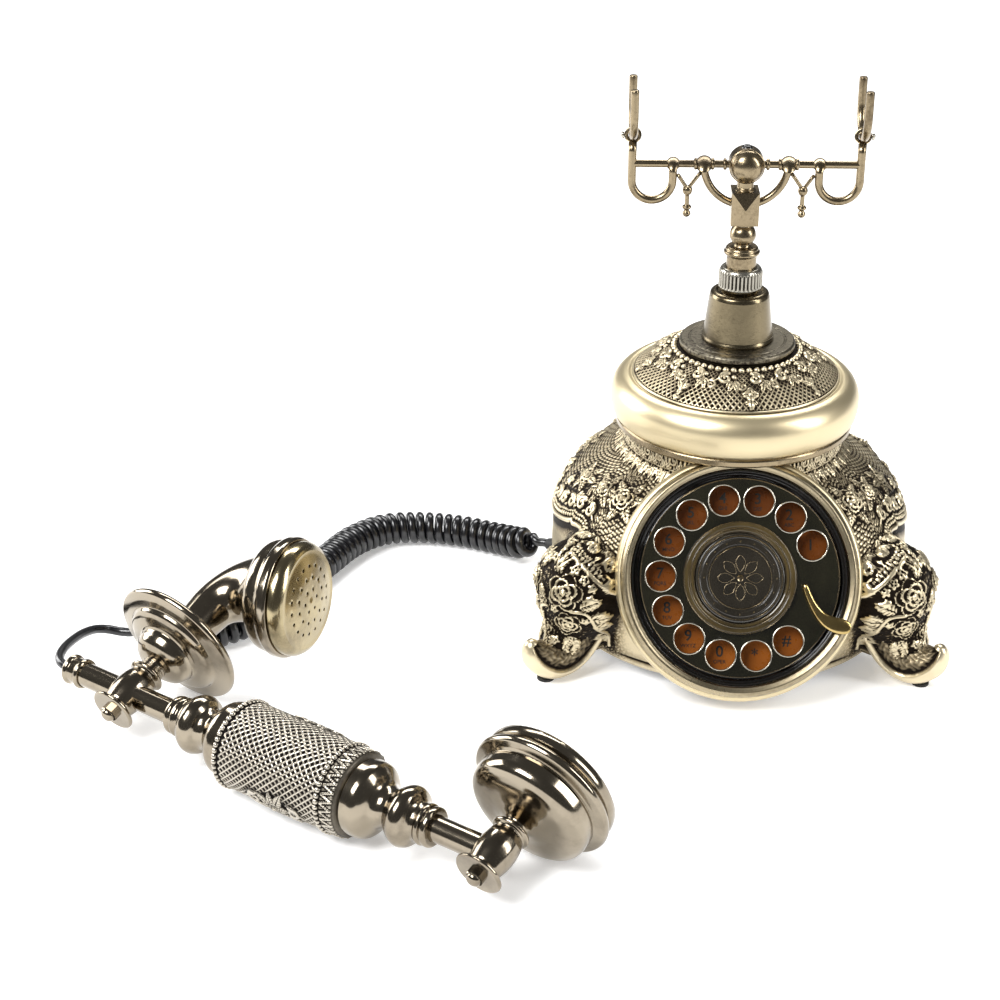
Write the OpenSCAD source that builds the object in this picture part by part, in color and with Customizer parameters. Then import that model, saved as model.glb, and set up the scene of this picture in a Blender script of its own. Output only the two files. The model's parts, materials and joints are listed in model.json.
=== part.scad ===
// Antique rotary desk telephone. The base stands on four corner feet and carries a sprung
// cradle. The handset lies beside it on its side, and a curly cord joins the two.
// Millimetres, +Z up. The front of the base, with the dial, faces -Y.

/* [Layout] */
// Distance of the base's axis to the right of the origin
base_x = 94; // [90:0.1:100]
// Distance of the base's axis behind the origin
base_y = 72.4; // [70:0.1:80]
// Place of the handset's middle along X
hand_x = -75.5; // [-80:0.1:-72]
// Place of the handset's middle along Y
hand_y = -84.8; // [-88:0.1:-80]
// Height of the handset rod's axis above the table
hand_z = 17.65; // [17.65:0.05:19]
// Direction of the handset rod, turned from +X
hand_turn = -35; // [-37:0.5:-33]
// Roll of the handset about its rod, so that it rests on its grip and both rims
hand_roll = 18.4; // [18:0.1:19]

/* [Body] */
// Largest radius of the round body
body_r = 76; // [74:0.5:78]
// Radius of the neck under the cap
neck_r = 44.6; // [44:0.1:46]
// Height of the top of the neck
neck_z = 93; // [92.5:0.1:93.5]
// Thickness of the cast walls
wall = 3.5; // [3:0.1:4]
// Clearance between the skirt and the table
skirt_z = 6; // [5:0.5:7]
// Distance of the toes from the axis along X
toe_x = 78; // [77:0.5:79]
// Distance of the toes from the axis along Y
toe_y = 60; // [59:0.5:61]

/* [Dial] */
// Distance of the dial's centre in front of the axis
dial_out = 66; // [65:0.5:67]
// Height of the dial's centre
dial_z = 52; // [51.5:0.5:53]
// Tilt of the dial, back from vertical
dial_tilt = 28; // [26:0.5:29]
// Outer radius of the bezel
bezel_r = 48.4; // [48:0.1:49]
// Radius of the finger wheel
wheel_r = 40.5; // [40:0.1:41]
// Radius of a finger hole
hole_r = 6; // [5.8:0.1:6.1]
// Radius of the circle of finger holes
pitch_r = 32; // [31.5:0.1:32.5]
// Radius of the push button in the centre
button_r = 18; // [17:0.1:18]

/* [Cap and cradle] */
// Largest radius of the cap ring
cap_r = 52; // [51:0.5:53]
// Radius of the flange on top of the cap
flange_r = 24; // [23:0.5:25]
// Height of the cradle bar
bar_z = 204.5; // [203:0.5:206]
// Distance of each fork from the middle
fork_x = 45.7; // [45:0.1:47]
// Inner radius of a fork
fork_r = 9.3; // [9:0.1:10]
// Height of the fork tips
fork_top = 237.7; // [236:0.1:240]
// How far the cradle sinks under the handset
cradle_drop = 4; // [3:0.1:4]

/* [Handset] */
// Distance between the two tees
tee_gap = 181; // [180:0.5:182]
// Radius of the rod
rod_r = 5; // [4.8:0.1:5.2]
// Length of the grip
grip_len = 60; // [58:0.5:62]
// Radius of the grip
grip_r = 17; // [16:0.1:17.2]
// Radius of the ear cup's widest ring
cup_r = 28.5; // [28:0.1:28.6]
// Radius of the dish behind the mouthpiece
dish_r = 28.5; // [28:0.1:28.6]
// Radius of the mouthpiece bell
bell_r = 24; // [23:0.1:24]

/* [Cord] */
// Outer diameter of the curly part
coil_d = 15; // [14:0.1:15.2]
// Diameter of the cord itself
cord_d = 4; // [3.8:0.1:4.2]

/* [Hidden] */
$fn = 64;

bronze = [0.62, 0.54, 0.36];
brass = [0.78, 0.68, 0.44];
dark_brass = [0.40, 0.34, 0.24];
steel = [0.75, 0.74, 0.70];
black = [0.06, 0.06, 0.07];
amber = [0.45, 0.24, 0.08];

// Small gap between pieces that move past each other
gap = 0.3;
// Radial clearance of a running fit
run = 0.05;

// Dial: the tray of plates behind the finger wheel, as depths below its front face
wheel_t = 1.8;
plate_z = -4.6;
well_z = -9;
frame_z = -13;
gear_z = -17;
rear_z = -22;
cover_turns = [15, 165, 200, 340];
cover_screw_r = body_r - 13;
hole_count = 12;
hole_step = 360 / 14;
hub_r = 4.5;
stop_turn = -24;
stop_post_r = 42.35;
screw_turns = [80, 200, 320];
screw_r = 30;
gear_teeth = 48;
pinion_teeth = 12;
tooth_pitch = 1.3;
gear_r = gear_teeth * tooth_pitch / (2 * PI) * 2;
pinion_r = gear_r * pinion_teeth / gear_teeth;

// Back feet: how far they swing inwards and stand nearer the axis than the front ones
back_swing = 17.4;
back_inset = 10.6;

// Cradle: heights of the turned stem
nut_z = 152.6;
nut_h = 8.8;
cone_z = 130;
cone_h = 21.3;
stem_r = 6.2;
stem_tip_z = 98;
spring_h = 19.5;
shoulder_z = cone_z + spring_h + 0.1;
collar_z = nut_z + nut_h + cradle_drop + 1;
wire_r = 1.7;
bar_r = 1.55;
block_half = 5.6;
eye_z = 11.8;
inner_ball_x = 16.9;
outer_ball_x = 29.3;

// Handset: half of the tee gap, and the place of the rims that it rests on
tee_x = tee_gap / 2;
rim_y = 30.5;
horn_turn = 77;
horn_r = 18;

// Cord gland: its direction from the axis and its height
gland_turn = 155;
gland_z = 13;
// Distance of the gland's tip from the axis, and the place of the tip
gland_tip = 86.3;
gland_end = [
    base_x + gland_tip * cos(gland_turn), base_y + gland_tip * sin(gland_turn), gland_z
];

// Route of the curly part, along its middle, from the gland to behind the handset
coil_route = [
    gland_end, gland_end + 2.5 * [cos(gland_turn), sin(gland_turn), 0],
    [4, 115, 10], [-8, 124, 7.6], [-25, 131, 7.5], [-44, 134, 7.5], [-61, 131, 7.5],
    [-74, 119, 7.5], [-83, 102, 7.5], [-93, 81, 7.5], [-104, 59, 7.5], [-117, 41, 7.5],
    [-133, 32, 7.5], [-150, 31, 7.5], [-163, 33, 7.5]
];
// Route of the plain lead, from the last turn of the curly part to the handset's end
lead_route = [
    [-163, 33, 7.5], [-166.25, 33.5, 7.5], [-171.5, 33, 8.8], [-176, 28.5, 11.2],
    [-179.5, 20, 13.8], [-181.8, 10, 16], [-183, 2, 17.3], [-183.2, -4.5, 17.6],
    [-182, -9, 17.65], [-180.2, -11.4, 17.65], [-178.6, -12.6, 17.65]
];

// ---- Frames of the assemblies ----

module on_base() {
    translate([base_x, base_y, 0])
        children();
}

// +Z of the dial's own frame points out of the dial, +Y up along its face
module on_dial() {
    on_base()
        translate([0, -dial_out, dial_z])
            rotate([90 - dial_tilt, 0, 0])
                children();
}

// +X of the handset's own frame runs along its rod to the ear cup, +Y to both cups
module on_handset() {
    translate([hand_x, hand_y, hand_z])
        rotate([0, 0, hand_turn])
            rotate([hand_roll, 0, 0])
                children();
}

// Turns a shape's +Z to +Y
module along_y() {
    rotate([-90, 0, 0])
        children();
}

// Turns a shape's +Z to +X
module along_x() {
    rotate([0, 90, 0])
        children();
}

module both_sides() {
    for (side = [0, 1])
        mirror([side, 0, 0])
            children();
}

// ---- Shapes ----

// A turned piece from its outline, given as [radius, height] points
module turned(outline) {
    rotate_extrude($fn = 96)
        polygon(outline);
}

// A plain tube
module tube(outer, inner, height) {
    difference() {
        cylinder(r = outer, h = height);
        translate([0, 0, -1])
            cylinder(r = inner, h = height + 2);
    }
}

// A ring with a round section
module torus(ring_r, wire) {
    rotate_extrude($fn = 96)
        translate([ring_r, 0])
            circle(r = wire, $fn = 32);
}

// A straight round bar between two points
module bar(from, to, r1, r2) {
    span = to - from;
    len = norm(span);
    translate(from)
        rotate([0, acos(span[2] / len), atan2(span[1], span[0])])
            cylinder(r1 = r1, r2 = r2, h = len);
}

// Direction of a route at its point i
function heading(route, i) =
    let (
        a = route[max(i - 1, 0)],
        b = route[min(i + 1, len(route) - 1)]
    ) (b - a) / norm(b - a);

// One ring of points about the route's point i
function ring(route, i, r, sides) =
    let (
        t = heading(route, i),
        s = cross([0, 0, 1], t) / norm(cross([0, 0, 1], t)),
        u = cross(t, s)
    ) [for (k = [0 : sides - 1])
        route[i] + r * (cos(360 * k / sides) * s + sin(360 * k / sides) * u)];

// A solid tube swept along a route, with its radius at each point
module swept(route, radii, sides) {
    last = len(route) - 1;
    points = [for (i = [0 : last]) each ring(route, i, radii[i], sides)];
    walls = [for (i = [0 : last - 1], k = [0 : sides - 1])
        [i * sides + k, i * sides + (k + 1) % sides,
            (i + 1) * sides + (k + 1) % sides, (i + 1) * sides + k]];
    start = [for (k = [sides - 1 : -1 : 0]) k];
    end = [for (k = [0 : sides - 1]) last * sides + k];
    mirror_faces = [for (f = concat([start], walls, [end])) [for (j = [len(f) - 1 : -1 : 0]) f[j]]];
    polyhedron(points = points, faces = mirror_faces, convexity = 6);
}

// A spur gear's outline, with narrow teeth that leave room at the mesh
module gear_outline(r, teeth) {
    circle(r = r - 0.9, $fn = 96);
    for (k = [0 : teeth - 1])
        rotate(k * 360 / teeth)
            translate([r - 1.2, 0])
                polygon([[0, -0.62], [1.95, -0.30], [1.95, 0.30], [0, 0.62]]);
}

// ---- Base ----

body_outline = [
    [0, skirt_z], [body_r - 5, skirt_z], [body_r - 3.5, skirt_z + 2], [body_r - 1.2, 20],
    [body_r, 34], [body_r - 0.4, 47], [body_r - 3.2, 57], [body_r - 8.6, 66],
    [body_r - 16, 73], [body_r - 23.5, 78], [neck_r + 2, 82], [neck_r, 85], [neck_r, neck_z],
    [0, neck_z]
];
cavity_outline = [
    [0, skirt_z + 3], [body_r - 8, skirt_z + 3], [body_r - 5, 20], [body_r - 3.8, 34],
    [body_r - 4.2, 46], [body_r - 7, 55.5], [body_r - 12, 63], [body_r - 19, 69.5],
    [body_r - 27, 75], [neck_r - wall, 81], [neck_r - wall, neck_z + 1], [0, neck_z + 1]
];

// One corner of the body, with its scroll foot
module corner(bulge, height) {
    translate([62, 46.5, height])
        sphere(r = bulge);
    bar([63, 47.5, height - 6], [73.5, 56, 12], bulge - 3, 9.6);
    bar([70, 53.5, 15], [toe_x, toe_y, 8.2], 9.2, 7.4);
    translate([toe_x, toe_y, 8.2])
        sphere(r = 8);
}

// Places a shape from a front toe, seen in plan, at the back toe of the same side
module at_back_toe() {
    rotate([0, 0, back_swing])
        translate(-back_inset * [toe_x, toe_y, 0] / norm([toe_x, toe_y]))
            children();
}

// Bosses inside the skirt for the screws of the bottom cover
module cover_bosses() {
    difference() {
        for (a = cover_turns)
            rotate([0, 0, a])
                translate([cover_screw_r - 4.5, -4, skirt_z + 2.4])
                    cube([12, 8, 13]);
        for (a = cover_turns)
            rotate([0, 0, a])
                translate([cover_screw_r, 0, 0])
                    cylinder(r = 1.6, h = 30);
    }
}

module body_shell() {
    color(bronze)
        on_base() {
            cover_bosses();
            difference() {
                union() {
                    turned(body_outline);
                    both_sides()
                        mirror([0, 1, 0])
                            corner(21.5, 42);
                    both_sides()
                        at_back_toe()
                            corner(16.6, 31);
                    translate([0, -dial_out, dial_z])
                        rotate([90 - dial_tilt, 0, 0])
                            translate([0, 0, -44])
                                cylinder(r = bezel_r - 0.8, h = 30, $fn = 96);
                    translate([-28, 60, 9.5])
                        cube([56, 16.5, 19]);
                }
                turned(cavity_outline);
                // Everything under the skirt except the feet, and the feet where the pads sit
                translate([0, 0, -40])
                    cylinder(r = body_r - 0.5, h = 40 + skirt_z);
                translate([-120, -120, -50])
                    cube([240, 240, 51.2]);
                translate([0, 0, skirt_z - 1])
                    cylinder(r = body_r - 8, h = 5);
                // Pocket and through hole of the dial
                translate([0, -dial_out, dial_z])
                    rotate([90 - dial_tilt, 0, 0]) {
                        difference() {
                            translate([0, 0, -14])
                                cylinder(r = bezel_r + 0.1, h = 60, $fn = 96);
                            translate([0, 0, -15])
                                cylinder(r = 43.9, h = 15 + well_z, $fn = 96);
                        }
                        translate([0, 0, -50])
                            cylinder(r = 35.5, h = 46, $fn = 96);
                    }
                // Openings of the jack, the ringer switch and the cord gland
                translate([-22, 50, 12])
                    cube([14, 40, 13]);
                translate([9, 50, 14.5])
                    cube([10, 40, 5]);
                rotate([0, 0, gland_turn])
                    translate([60, 0, gland_z])
                        along_x()
                            cylinder(r = 3.6, h = 30);
            }
        }
}

module foot_pads() {
    color(black)
        on_base()
            both_sides() {
                translate([toe_x, -toe_y, 0])
                    cylinder(r = 3.6, h = 1.2);
                at_back_toe()
                    translate([toe_x, toe_y, 0])
                        cylinder(r = 3.6, h = 1.2);
            }
}

// Bottom cover with its posts for the circuit board and slots for the loudspeaker
module bottom_cover() {
    color(black)
        on_base()
            difference() {
                union() {
                    translate([0, 0, skirt_z])
                        cylinder(r = body_r - 8.2, h = 2.4);
                    for (sx = [-1, 1], sy = [-1, 1])
                        translate([sx * 30, 22 + sy * 24, skirt_z])
                            cylinder(r = 3, h = 20);
                }
                for (a = cover_turns)
                    rotate([0, 0, a])
                        translate([cover_screw_r, 0, 0])
                            cylinder(r = 1.6, h = 20);
                for (k = [-4 : 4])
                    translate([3.6 * k - 0.9, 14, 0])
                        cube([1.8, 22, 12]);
            }
}

module cover_screws() {
    color(steel)
        on_base()
            for (a = cover_turns)
                rotate([0, 0, a])
                    translate([cover_screw_r, 0, skirt_z]) {
                        translate([0, 0, -1.2])
                            cylinder(r = 2.8, h = 1.2);
                        cylinder(r = 1.55, h = 9);
                    }
}

module circuit_board() {
    color([0.1, 0.35, 0.2])
        on_base()
            translate([-35, -7, skirt_z + 20.1])
                union() {
                    cube([70, 58, 1.6]);
                    translate([8, 8, 1.5])
                        cube([14, 12, 5]);
                    translate([40, 30, 1.5])
                        cube([18, 10, 7]);
                    translate([30, 12, 1.5])
                        cylinder(r = 4, h = 9);
                }
}

module loudspeaker() {
    color(black)
        on_base()
            translate([0, 25, skirt_z + 2.5])
                turned([
                    [0, 5], [6, 5], [16, 0.5], [17, 0], [19, 0], [19, 2], [14, 8], [9.5, 9],
                    [9.5, 15], [0, 15]
                ]);
}

// Modular socket for the line, open to the back
module line_jack() {
    color(black)
        on_base()
            difference() {
                translate([-21.9, 56, 12.1])
                    cube([13.8, 20.5, 12.8]);
                translate([-20, 62, 14.6])
                    cube([10, 20, 7]);
            }
}

module switch_housing() {
    color(black)
        on_base()
            difference() {
                translate([6, 48, 11])
                    cube([16, 17.4, 12]);
                translate([8, 52, 13.5])
                    cube([12.4, 20, 7]);
            }
}

// Ringer level slider, seen through its slot at the back
module ringer_switch() {
    color(steel)
        on_base()
            union() {
                translate([9, 55, 14])
                    cube([6, 6, 6]);
                translate([10.5, 60, 15])
                    cube([3, 17.6, 4]);
            }
}

// Strain relief of the handset cord, on the left of the body
module cord_gland() {
    color(black)
        on_base()
            rotate([0, 0, gland_turn])
                translate([gland_tip, 0, gland_z])
                    along_x()
                        turned([
                            [0, -20.3], [4.2, -20.3], [4.2, -18.7], [3.5, -18.5], [3.5, -11.5],
                            [4.9, -10.7], [4.9, -9.5], [3.4, -8.6], [2.7, 0], [0, 0]
                        ]);
}

// ---- Dial ----

// Cast ring round the dial, trimmed where it meets the cap
module dial_bezel() {
    color(bronze)
        difference() {
            on_dial()
                turned([
                    [44, -14], [bezel_r, -14], [bezel_r, -0.5], [bezel_r - 0.5, 1.6],
                    [bezel_r - 1.6, 3.1], [bezel_r - 3, 3.2], [44.2, 2.2], [44, 1.2]
                ]);
            on_base()
                translate([-60, -90, neck_z - 0.2])
                    cube([120, 90, 20]);
        }
}

// Black tray behind the finger wheel
module dial_well() {
    color(black)
        on_dial()
            difference() {
                turned([
                    [5.2, well_z], [43.8, well_z], [43.8, -0.6], [41.4, -1.4], [41.4, plate_z - 1],
                    [22, plate_z - 1], [21.6, -7.2], [5.2, -7.2]
                ]);
                rotate([0, 0, stop_turn])
                    translate([stop_post_r, 0, -5])
                        cylinder(r = 0.8 + run, h = 9);
                for (a = screw_turns)
                    rotate([0, 0, a])
                        translate([screw_r, 0, well_z - 1])
                            cylinder(r = 1.3, h = 3.2);
            }
}

module number_plate() {
    color(amber)
        on_dial()
            translate([0, 0, plate_z - 1])
                tube(41.2, 22.2, 1);
}

// Two plates with the bearings of the dial's shaft and governor
module dial_frame() {
    color(steel)
        on_dial()
            difference() {
                union() {
                    translate([0, 0, frame_z])
                        cylinder(r = 34, h = 2);
                    translate([0, 0, rear_z])
                        cylinder(r = 34, h = 2);
                    for (a = screw_turns)
                        rotate([0, 0, a])
                            translate([screw_r, 0, rear_z + 1])
                                cylinder(r = 2.4, h = frame_z - rear_z + 3);
                }
                translate([0, 0, frame_z - 1])
                    cylinder(r = hub_r + run, h = 4);
                translate([0, 0, rear_z - 1])
                    cylinder(r = hub_r + run, h = 4);
                for (z = [frame_z, rear_z])
                    translate([0, -gear_r - pinion_r, z - 1])
                        cylinder(r = 1 + run, h = 4);
                for (a = screw_turns)
                    rotate([0, 0, a])
                        translate([screw_r, 0, rear_z - 1])
                            cylinder(r = 1.3, h = 30);
            }
}

module dial_screws() {
    color(steel)
        on_dial()
            for (a = screw_turns)
                rotate([0, 0, a])
                    translate([screw_r, 0, rear_z - 1.5]) {
                        cylinder(r = 2.6, h = 1.5);
                        cylinder(r = 1.25, h = 16);
                    }
}

// Flat spiral spring that returns the finger wheel
module return_spring() {
    turns = 3;
    steps = 60;
    spiral = [for (k = [0 : steps]) let (a = turns * 360 * k / steps, r = 6.2 + 4.2 * k / steps)
        [r * cos(a), r * sin(a)]];
    outer = [for (k = [steps : -1 : 0]) let (a = turns * 360 * k / steps, r = 6.6 + 4.2 * k / steps)
        [r * cos(a), r * sin(a)]];
    color(steel)
        on_dial()
            translate([0, 0, rear_z + 2.3])
                linear_extrude(height = 1.6)
                    polygon(concat(spiral, outer));
}

module finger_wheel() {
    color([0.12, 0.11, 0.06])
        on_dial()
            translate([0, 0, -wheel_t / 2])
                difference() {
                    cylinder(r = wheel_r, h = wheel_t, $fn = 96);
                    translate([0, 0, -1])
                        cylinder(r = hub_r, h = 10);
                    for (k = [0 : hole_count - 1])
                        rotate([0, 0, 25 + k * hole_step])
                            translate([pitch_r, 0, -1])
                                cylinder(r = hole_r + 0.5, h = 10);
                }
}

// Bright eyelets in the twelve finger holes
module hole_rims() {
    color(steel)
        on_dial()
            for (k = [0 : hole_count - 1])
                rotate([0, 0, 25 + k * hole_step])
                    translate([pitch_r, 0, -wheel_t / 2 - 0.2])
                        tube(hole_r + 0.5, hole_r, wheel_t + 0.5);
}

// Hollow shaft of the finger wheel with the raised ring round the push button
module wheel_hub() {
    color(black)
        on_dial() {
            translate([0, 0, wheel_t / 2])
                turned([
                    [button_r + gap, 0], [22.9, 0], [22.9, 1.2], [22.2, 1.9], [19.2, 1.9],
                    [button_r + gap, 1.4]
                ]);
            turned([
                [2.6, rear_z + 0.2], [hub_r, rear_z + 0.2], [hub_r, -wheel_t / 2 - 1.8],
                [9, -wheel_t / 2 - 1.8], [9, -wheel_t / 2], [hub_r, -wheel_t / 2],
                [hub_r, wheel_t / 2], [2.6, wheel_t / 2]
            ]);
        }
}

module dial_gear() {
    color(brass)
        on_dial()
            translate([0, 0, gear_z])
                linear_extrude(height = 2)
                    difference() {
                        gear_outline(gear_r, gear_teeth);
                        circle(r = hub_r);
                    }
}

// Governor pinion with its brake drum, driven by the dial's gear
module governor() {
    color(brass)
        on_dial()
            translate([0, -gear_r - pinion_r, 0]) {
                translate([0, 0, gear_z - 0.3])
                    linear_extrude(height = 2.6)
                        rotate(90 + 180 / pinion_teeth)
                            gear_outline(pinion_r, pinion_teeth);
                translate([0, 0, rear_z + 0.2])
                    cylinder(r = 1, h = frame_z - rear_z + 1.6);
                translate([0, 0, rear_z + 2.2])
                    cylinder(r = 5, h = 2);
            }
}

// Push button in the middle of the dial, with its stem through the hollow shaft
module handsfree_button() {
    color(black)
        on_dial()
            turned([
                [0, rear_z + 1], [2.3, rear_z + 1], [2.3, 2.1], [button_r, 2.1], [button_r, 3.2],
                [button_r - 0.5, 3.6], [button_r - 4.4, 3.6], [button_r - 4.6, 3.3], [0, 3.3]
            ]);
}

// Hooked stop over the wheel, which is also a push key
module finger_stop() {
    color(brass)
        on_dial()
            union() {
                hull() {
                    rotate([0, 0, -7])
                        translate([28.6, 0, 3.4])
                            cylinder(r = 1.3, h = 1.4, $fn = 32);
                    rotate([0, 0, -17])
                        translate([32.5, 0, 4])
                            cylinder(r = 2, h = 1.6, $fn = 32);
                }
                hull() {
                    rotate([0, 0, -17])
                        translate([32.5, 0, 4])
                            cylinder(r = 2, h = 1.6, $fn = 32);
                    rotate([0, 0, -23.5])
                        translate([41, 0, 4.2])
                            cylinder(r = 4.2, h = 2, $fn = 32);
                }
                hull() {
                    rotate([0, 0, -23.5])
                        translate([41, 0, 4.2])
                            cylinder(r = 4.2, h = 2, $fn = 32);
                    rotate([0, 0, -25])
                        translate([45.5, 0, 4.3])
                            cylinder(r = 3.6, h = 1.8, $fn = 32);
                }
                rotate([0, 0, stop_turn])
                    translate([stop_post_r, 0, -4])
                        cylinder(r = 0.8, h = 9);
            }
}

// ---- Cap ----

module neck_ring() {
    color(bronze)
        on_base()
            translate([0, 0, neck_z])
                turned([
                    [neck_r - wall, 0], [49, 0], [49.6, 0.8], [49.6, 2.8], [49, 3.6],
                    [neck_r - wall, 3.6]
                ]);
}

// Hollow cap: a fat round ring with the domed top inside it
module cap_shell() {
    z0 = neck_z + 3.6;
    color(bronze)
        on_base()
            turned([
                [41, z0], [49.8, z0], [51.3, z0 + 3.4], [cap_r, z0 + 8], [51.6, z0 + 11.6],
                [50, z0 + 14.8], [47.4, z0 + 17], [44.6, z0 + 17.9], [43.8, z0 + 17.2],
                [40, z0 + 20.4], [34, z0 + 24.6], [28, z0 + 28.2], [25.8, z0 + 29.4],
                [25.2, z0 + 30.4], [6.5, z0 + 30.4], [6.5, z0 + 26.8], [24, z0 + 25.6],
                [33, z0 + 20.6], [40, z0 + 15.4], [46, z0 + 12.6], [48, z0 + 8],
                [47, z0 + 4], [44, z0 + 3.4], [41, z0 + 3.2]
            ]);
}

module flange_disc() {
    color(dark_brass)
        on_base()
            turned([
                [4.4, 127], [flange_r - 1, 127], [flange_r, 127.6], [flange_r, 129.2],
                [flange_r - 0.8, 130], [flange_r - 6, cone_z], [4.4, cone_z]
            ]);
}

// Tapered post that carries the cradle, with a seat for the knurled nut
module cone_post() {
    color(bronze)
        on_base()
            turned([
                [6.5, cone_z], [14.9, cone_z], [14.9, cone_z + 1], [14.4, cone_z + 2],
                [12.4, cone_z + cone_h - 2.2], [11.6, cone_z + cone_h - 0.6], [10.4, cone_z + cone_h],
                [9.6, cone_z + cone_h], [9.2, cone_z + cone_h - 1.2], [7.5, cone_z + cone_h - 1.2],
                [7.5, cone_z + cone_h + 1.3], [6.5, cone_z + cone_h + 1.3]
            ]);
}

// Nut that clamps the post, knurled on its rim
module knurled_nut() {
    color(steel)
        on_base()
            difference() {
                translate([0, 0, nut_z])
                    turned([
                        [stem_r + run, 0], [8.6, 0], [9, 0.5], [9, nut_h - 1.6], [8.2, nut_h - 0.4],
                        [7.6, nut_h], [stem_r + run, nut_h]
                    ]);
                for (k = [0 : 35])
                    rotate([0, 0, 10 * k])
                        translate([9, -0.35, nut_z - 1])
                            cube([1, 0.7, nut_h + 2]);
            }
}

// Plate across the neck that holds the hook switch
module switch_bracket() {
    color(steel)
        on_base()
            difference() {
                translate([0, 0, 86])
                    cylinder(r = neck_r - wall, h = 1.6);
                translate([-60, -80, 80])
                    cube([120, 66, 20]);
            }
}

module hook_switch() {
    color(black)
        on_base()
            translate([4, -5, 87.6])
                difference() {
                    cube([20, 10, 6.4]);
                    // Slot of the lever
                    translate([-1, 2.5, 3.3])
                        cube([22, 5, 6]);
                    translate([12, -1, 5])
                        rotate([-90, 0, 0])
                            cylinder(r = 0.75, h = 12);
                }
}

// Lever that the cradle's stem presses
module hook_lever() {
    color(steel)
        on_base() {
            translate([16, -4.6, 92.6])
                rotate([-90, 0, 0])
                    cylinder(r = 0.7, h = 9.2);
            translate([-4, -2.2, 0])
                rotate([90, 0, 0])
                    mirror([0, 0, 1])
                        linear_extrude(height = 4.4)
                            polygon([
                                [0, 96.4], [3, 97.4], [7, 97.4], [21, 94.2], [21, 91.6],
                                [19, 91.6], [6, 96], [0, 95.6]
                            ]);
        }
}

module cradle_spring() {
    color(steel)
        on_base()
            translate([0, 0, cone_z])
                tube(5.8, 4.6, spring_h);
}

// ---- Cradle, which sinks when the handset is put on it ----

module cradle_stem() {
    color(dark_brass)
        on_base()
            turned([
                [0, stem_tip_z], [3, stem_tip_z], [4, stem_tip_z + 1], [4, shoulder_z],
                [stem_r, shoulder_z], [stem_r, collar_z], [6.6, collar_z + 0.2], [7.4, 167.4],
                [7.4, 168.2], [6.7, 168.8], [6.7, 169.4], [6, 170.2], [3.6, 170.2], [3.2, 171],
                [3.2, 171.4], [4.7, 172.3],
                [5.5, 174.6], [5, 177.2], [3.6, 179], [3.6, 180.2], [0, 180.2]
            ]);
}

// Square block with a low pyramid on each face
module cradle_block() {
    half = block_half;
    tall = 7;
    color(brass)
        on_base()
            translate([0, 0, 180.2 + tall])
                union() {
                    translate([-half, -half, -tall])
                        cube([2 * half, 2 * half, 2 * tall]);
                    for (a = [0, 180])
                        rotate([0, 0, a])
                            translate([0, -half, 0])
                                rotate([90, 0, 0])
                                    polyhedron(
                                        points = [
                                            [-half, -tall, 0], [half, -tall, 0], [half, tall, 0],
                                            [-half, tall, 0], [0, 0, 1.9]
                                        ],
                                        faces = [
                                            [0, 1, 2, 3], [1, 0, 4], [2, 1, 4], [3, 2, 4], [0, 3, 4]
                                        ]
                                    );
                    translate([0, 0, tall])
                        turned([[0, 0], [4.4, 0], [3.4, 1], [3.4, 3.6], [0, 3.6]]);
                }
}

// Round hub in the middle of the bar, lying front to back
module cradle_hub() {
    color(brass)
        on_base()
            difference() {
                translate([0, 0, bar_z])
                    along_y()
                        turned([
                            [0, -8.6], [2.8, -8.1], [5, -6.8], [6.4, -4.8], [6.8, -3.6], [7.2, -3.4],
                            [7.2, 3.4], [6.8, 3.6], [6.4, 4.8], [5, 6.8], [2.8, 8.1], [0, 8.6]
                        ]);
                translate([0, 0, bar_z + 4])
                    cylinder(r = 2.3, h = 10);
                translate([0, 0, bar_z - 10])
                    cylinder(r = 3.4, h = 4);
                for (side = [-1, 1])
                    translate([side * 6.2, 0, bar_z])
                        rotate([0, side * 90, 0])
                            cylinder(r = 2.4, h = 6);
            }
}

module hub_plug() {
    color(black)
        on_base()
            translate([0, 0, bar_z + 4])
                turned([[0, 0], [2.3, 0], [2.3, 3.2], [1.6, 3.9], [0, 4.1]]);
}

// Small turned collar on the bar
module bar_collar(x) {
    translate([x, 0, 0])
        along_x()
            turned([[bar_r - 0.3, -0.7], [2.3, -0.5], [2.3, 0.5], [bar_r - 0.3, 0.7]]);
}

// One side of the bar: balls, hook, brace and the upright of the fork
module bar_side() {
    hook_r = (fork_x - outer_ball_x) / 2;
    hook_z = -7;
    arc_end = 12;
    difference() {
        union() {
            translate([6.2, 0, 0])
                along_x()
                    cylinder(r = bar_r, h = fork_x - 6.2);
            for (x = [8.6, inner_ball_x - 3.4, inner_ball_x + 3.4])
                bar_collar(x);
            translate([inner_ball_x, 0, 0])
                sphere(r = 3.05);
            translate([outer_ball_x, 0, 0])
                sphere(r = 2.25);
            // Hook: down from the small ball, round and up the upright
            translate([outer_ball_x, 0, hook_z])
                cylinder(r = wire_r, h = -hook_z);
            translate([outer_ball_x + hook_r, 0, hook_z])
                rotate([90, 0, 0])
                    rotate_extrude(angle = 180, start = 180)
                        translate([hook_r, 0])
                            circle(r = wire_r, $fn = 32);
            translate([fork_x, 0, hook_z])
                cylinder(r = wire_r, h = eye_z - 2.6 - hook_z);
            // Eye that the fork passes through
            translate([fork_x, 0, eye_z])
                rotate([90, 0, 0])
                    torus(2.65, 0.85);
            // Quarter arc from the large ball to the block
            rotate([90, 0, 0])
                rotate_extrude(angle = 90 - arc_end, start = 270 + arc_end)
                    translate([inner_ball_x, 0])
                        circle(r = wire_r - 0.1, $fn = 32);
        }
        // The brace ends on the block's side
        translate([-block_half, -10, -40])
            cube([2 * block_half, 20, 36]);
    }
}

module cradle_bar() {
    color(brass)
        on_base()
            translate([0, 0, bar_z])
                both_sides()
                    bar_side();
}

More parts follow.
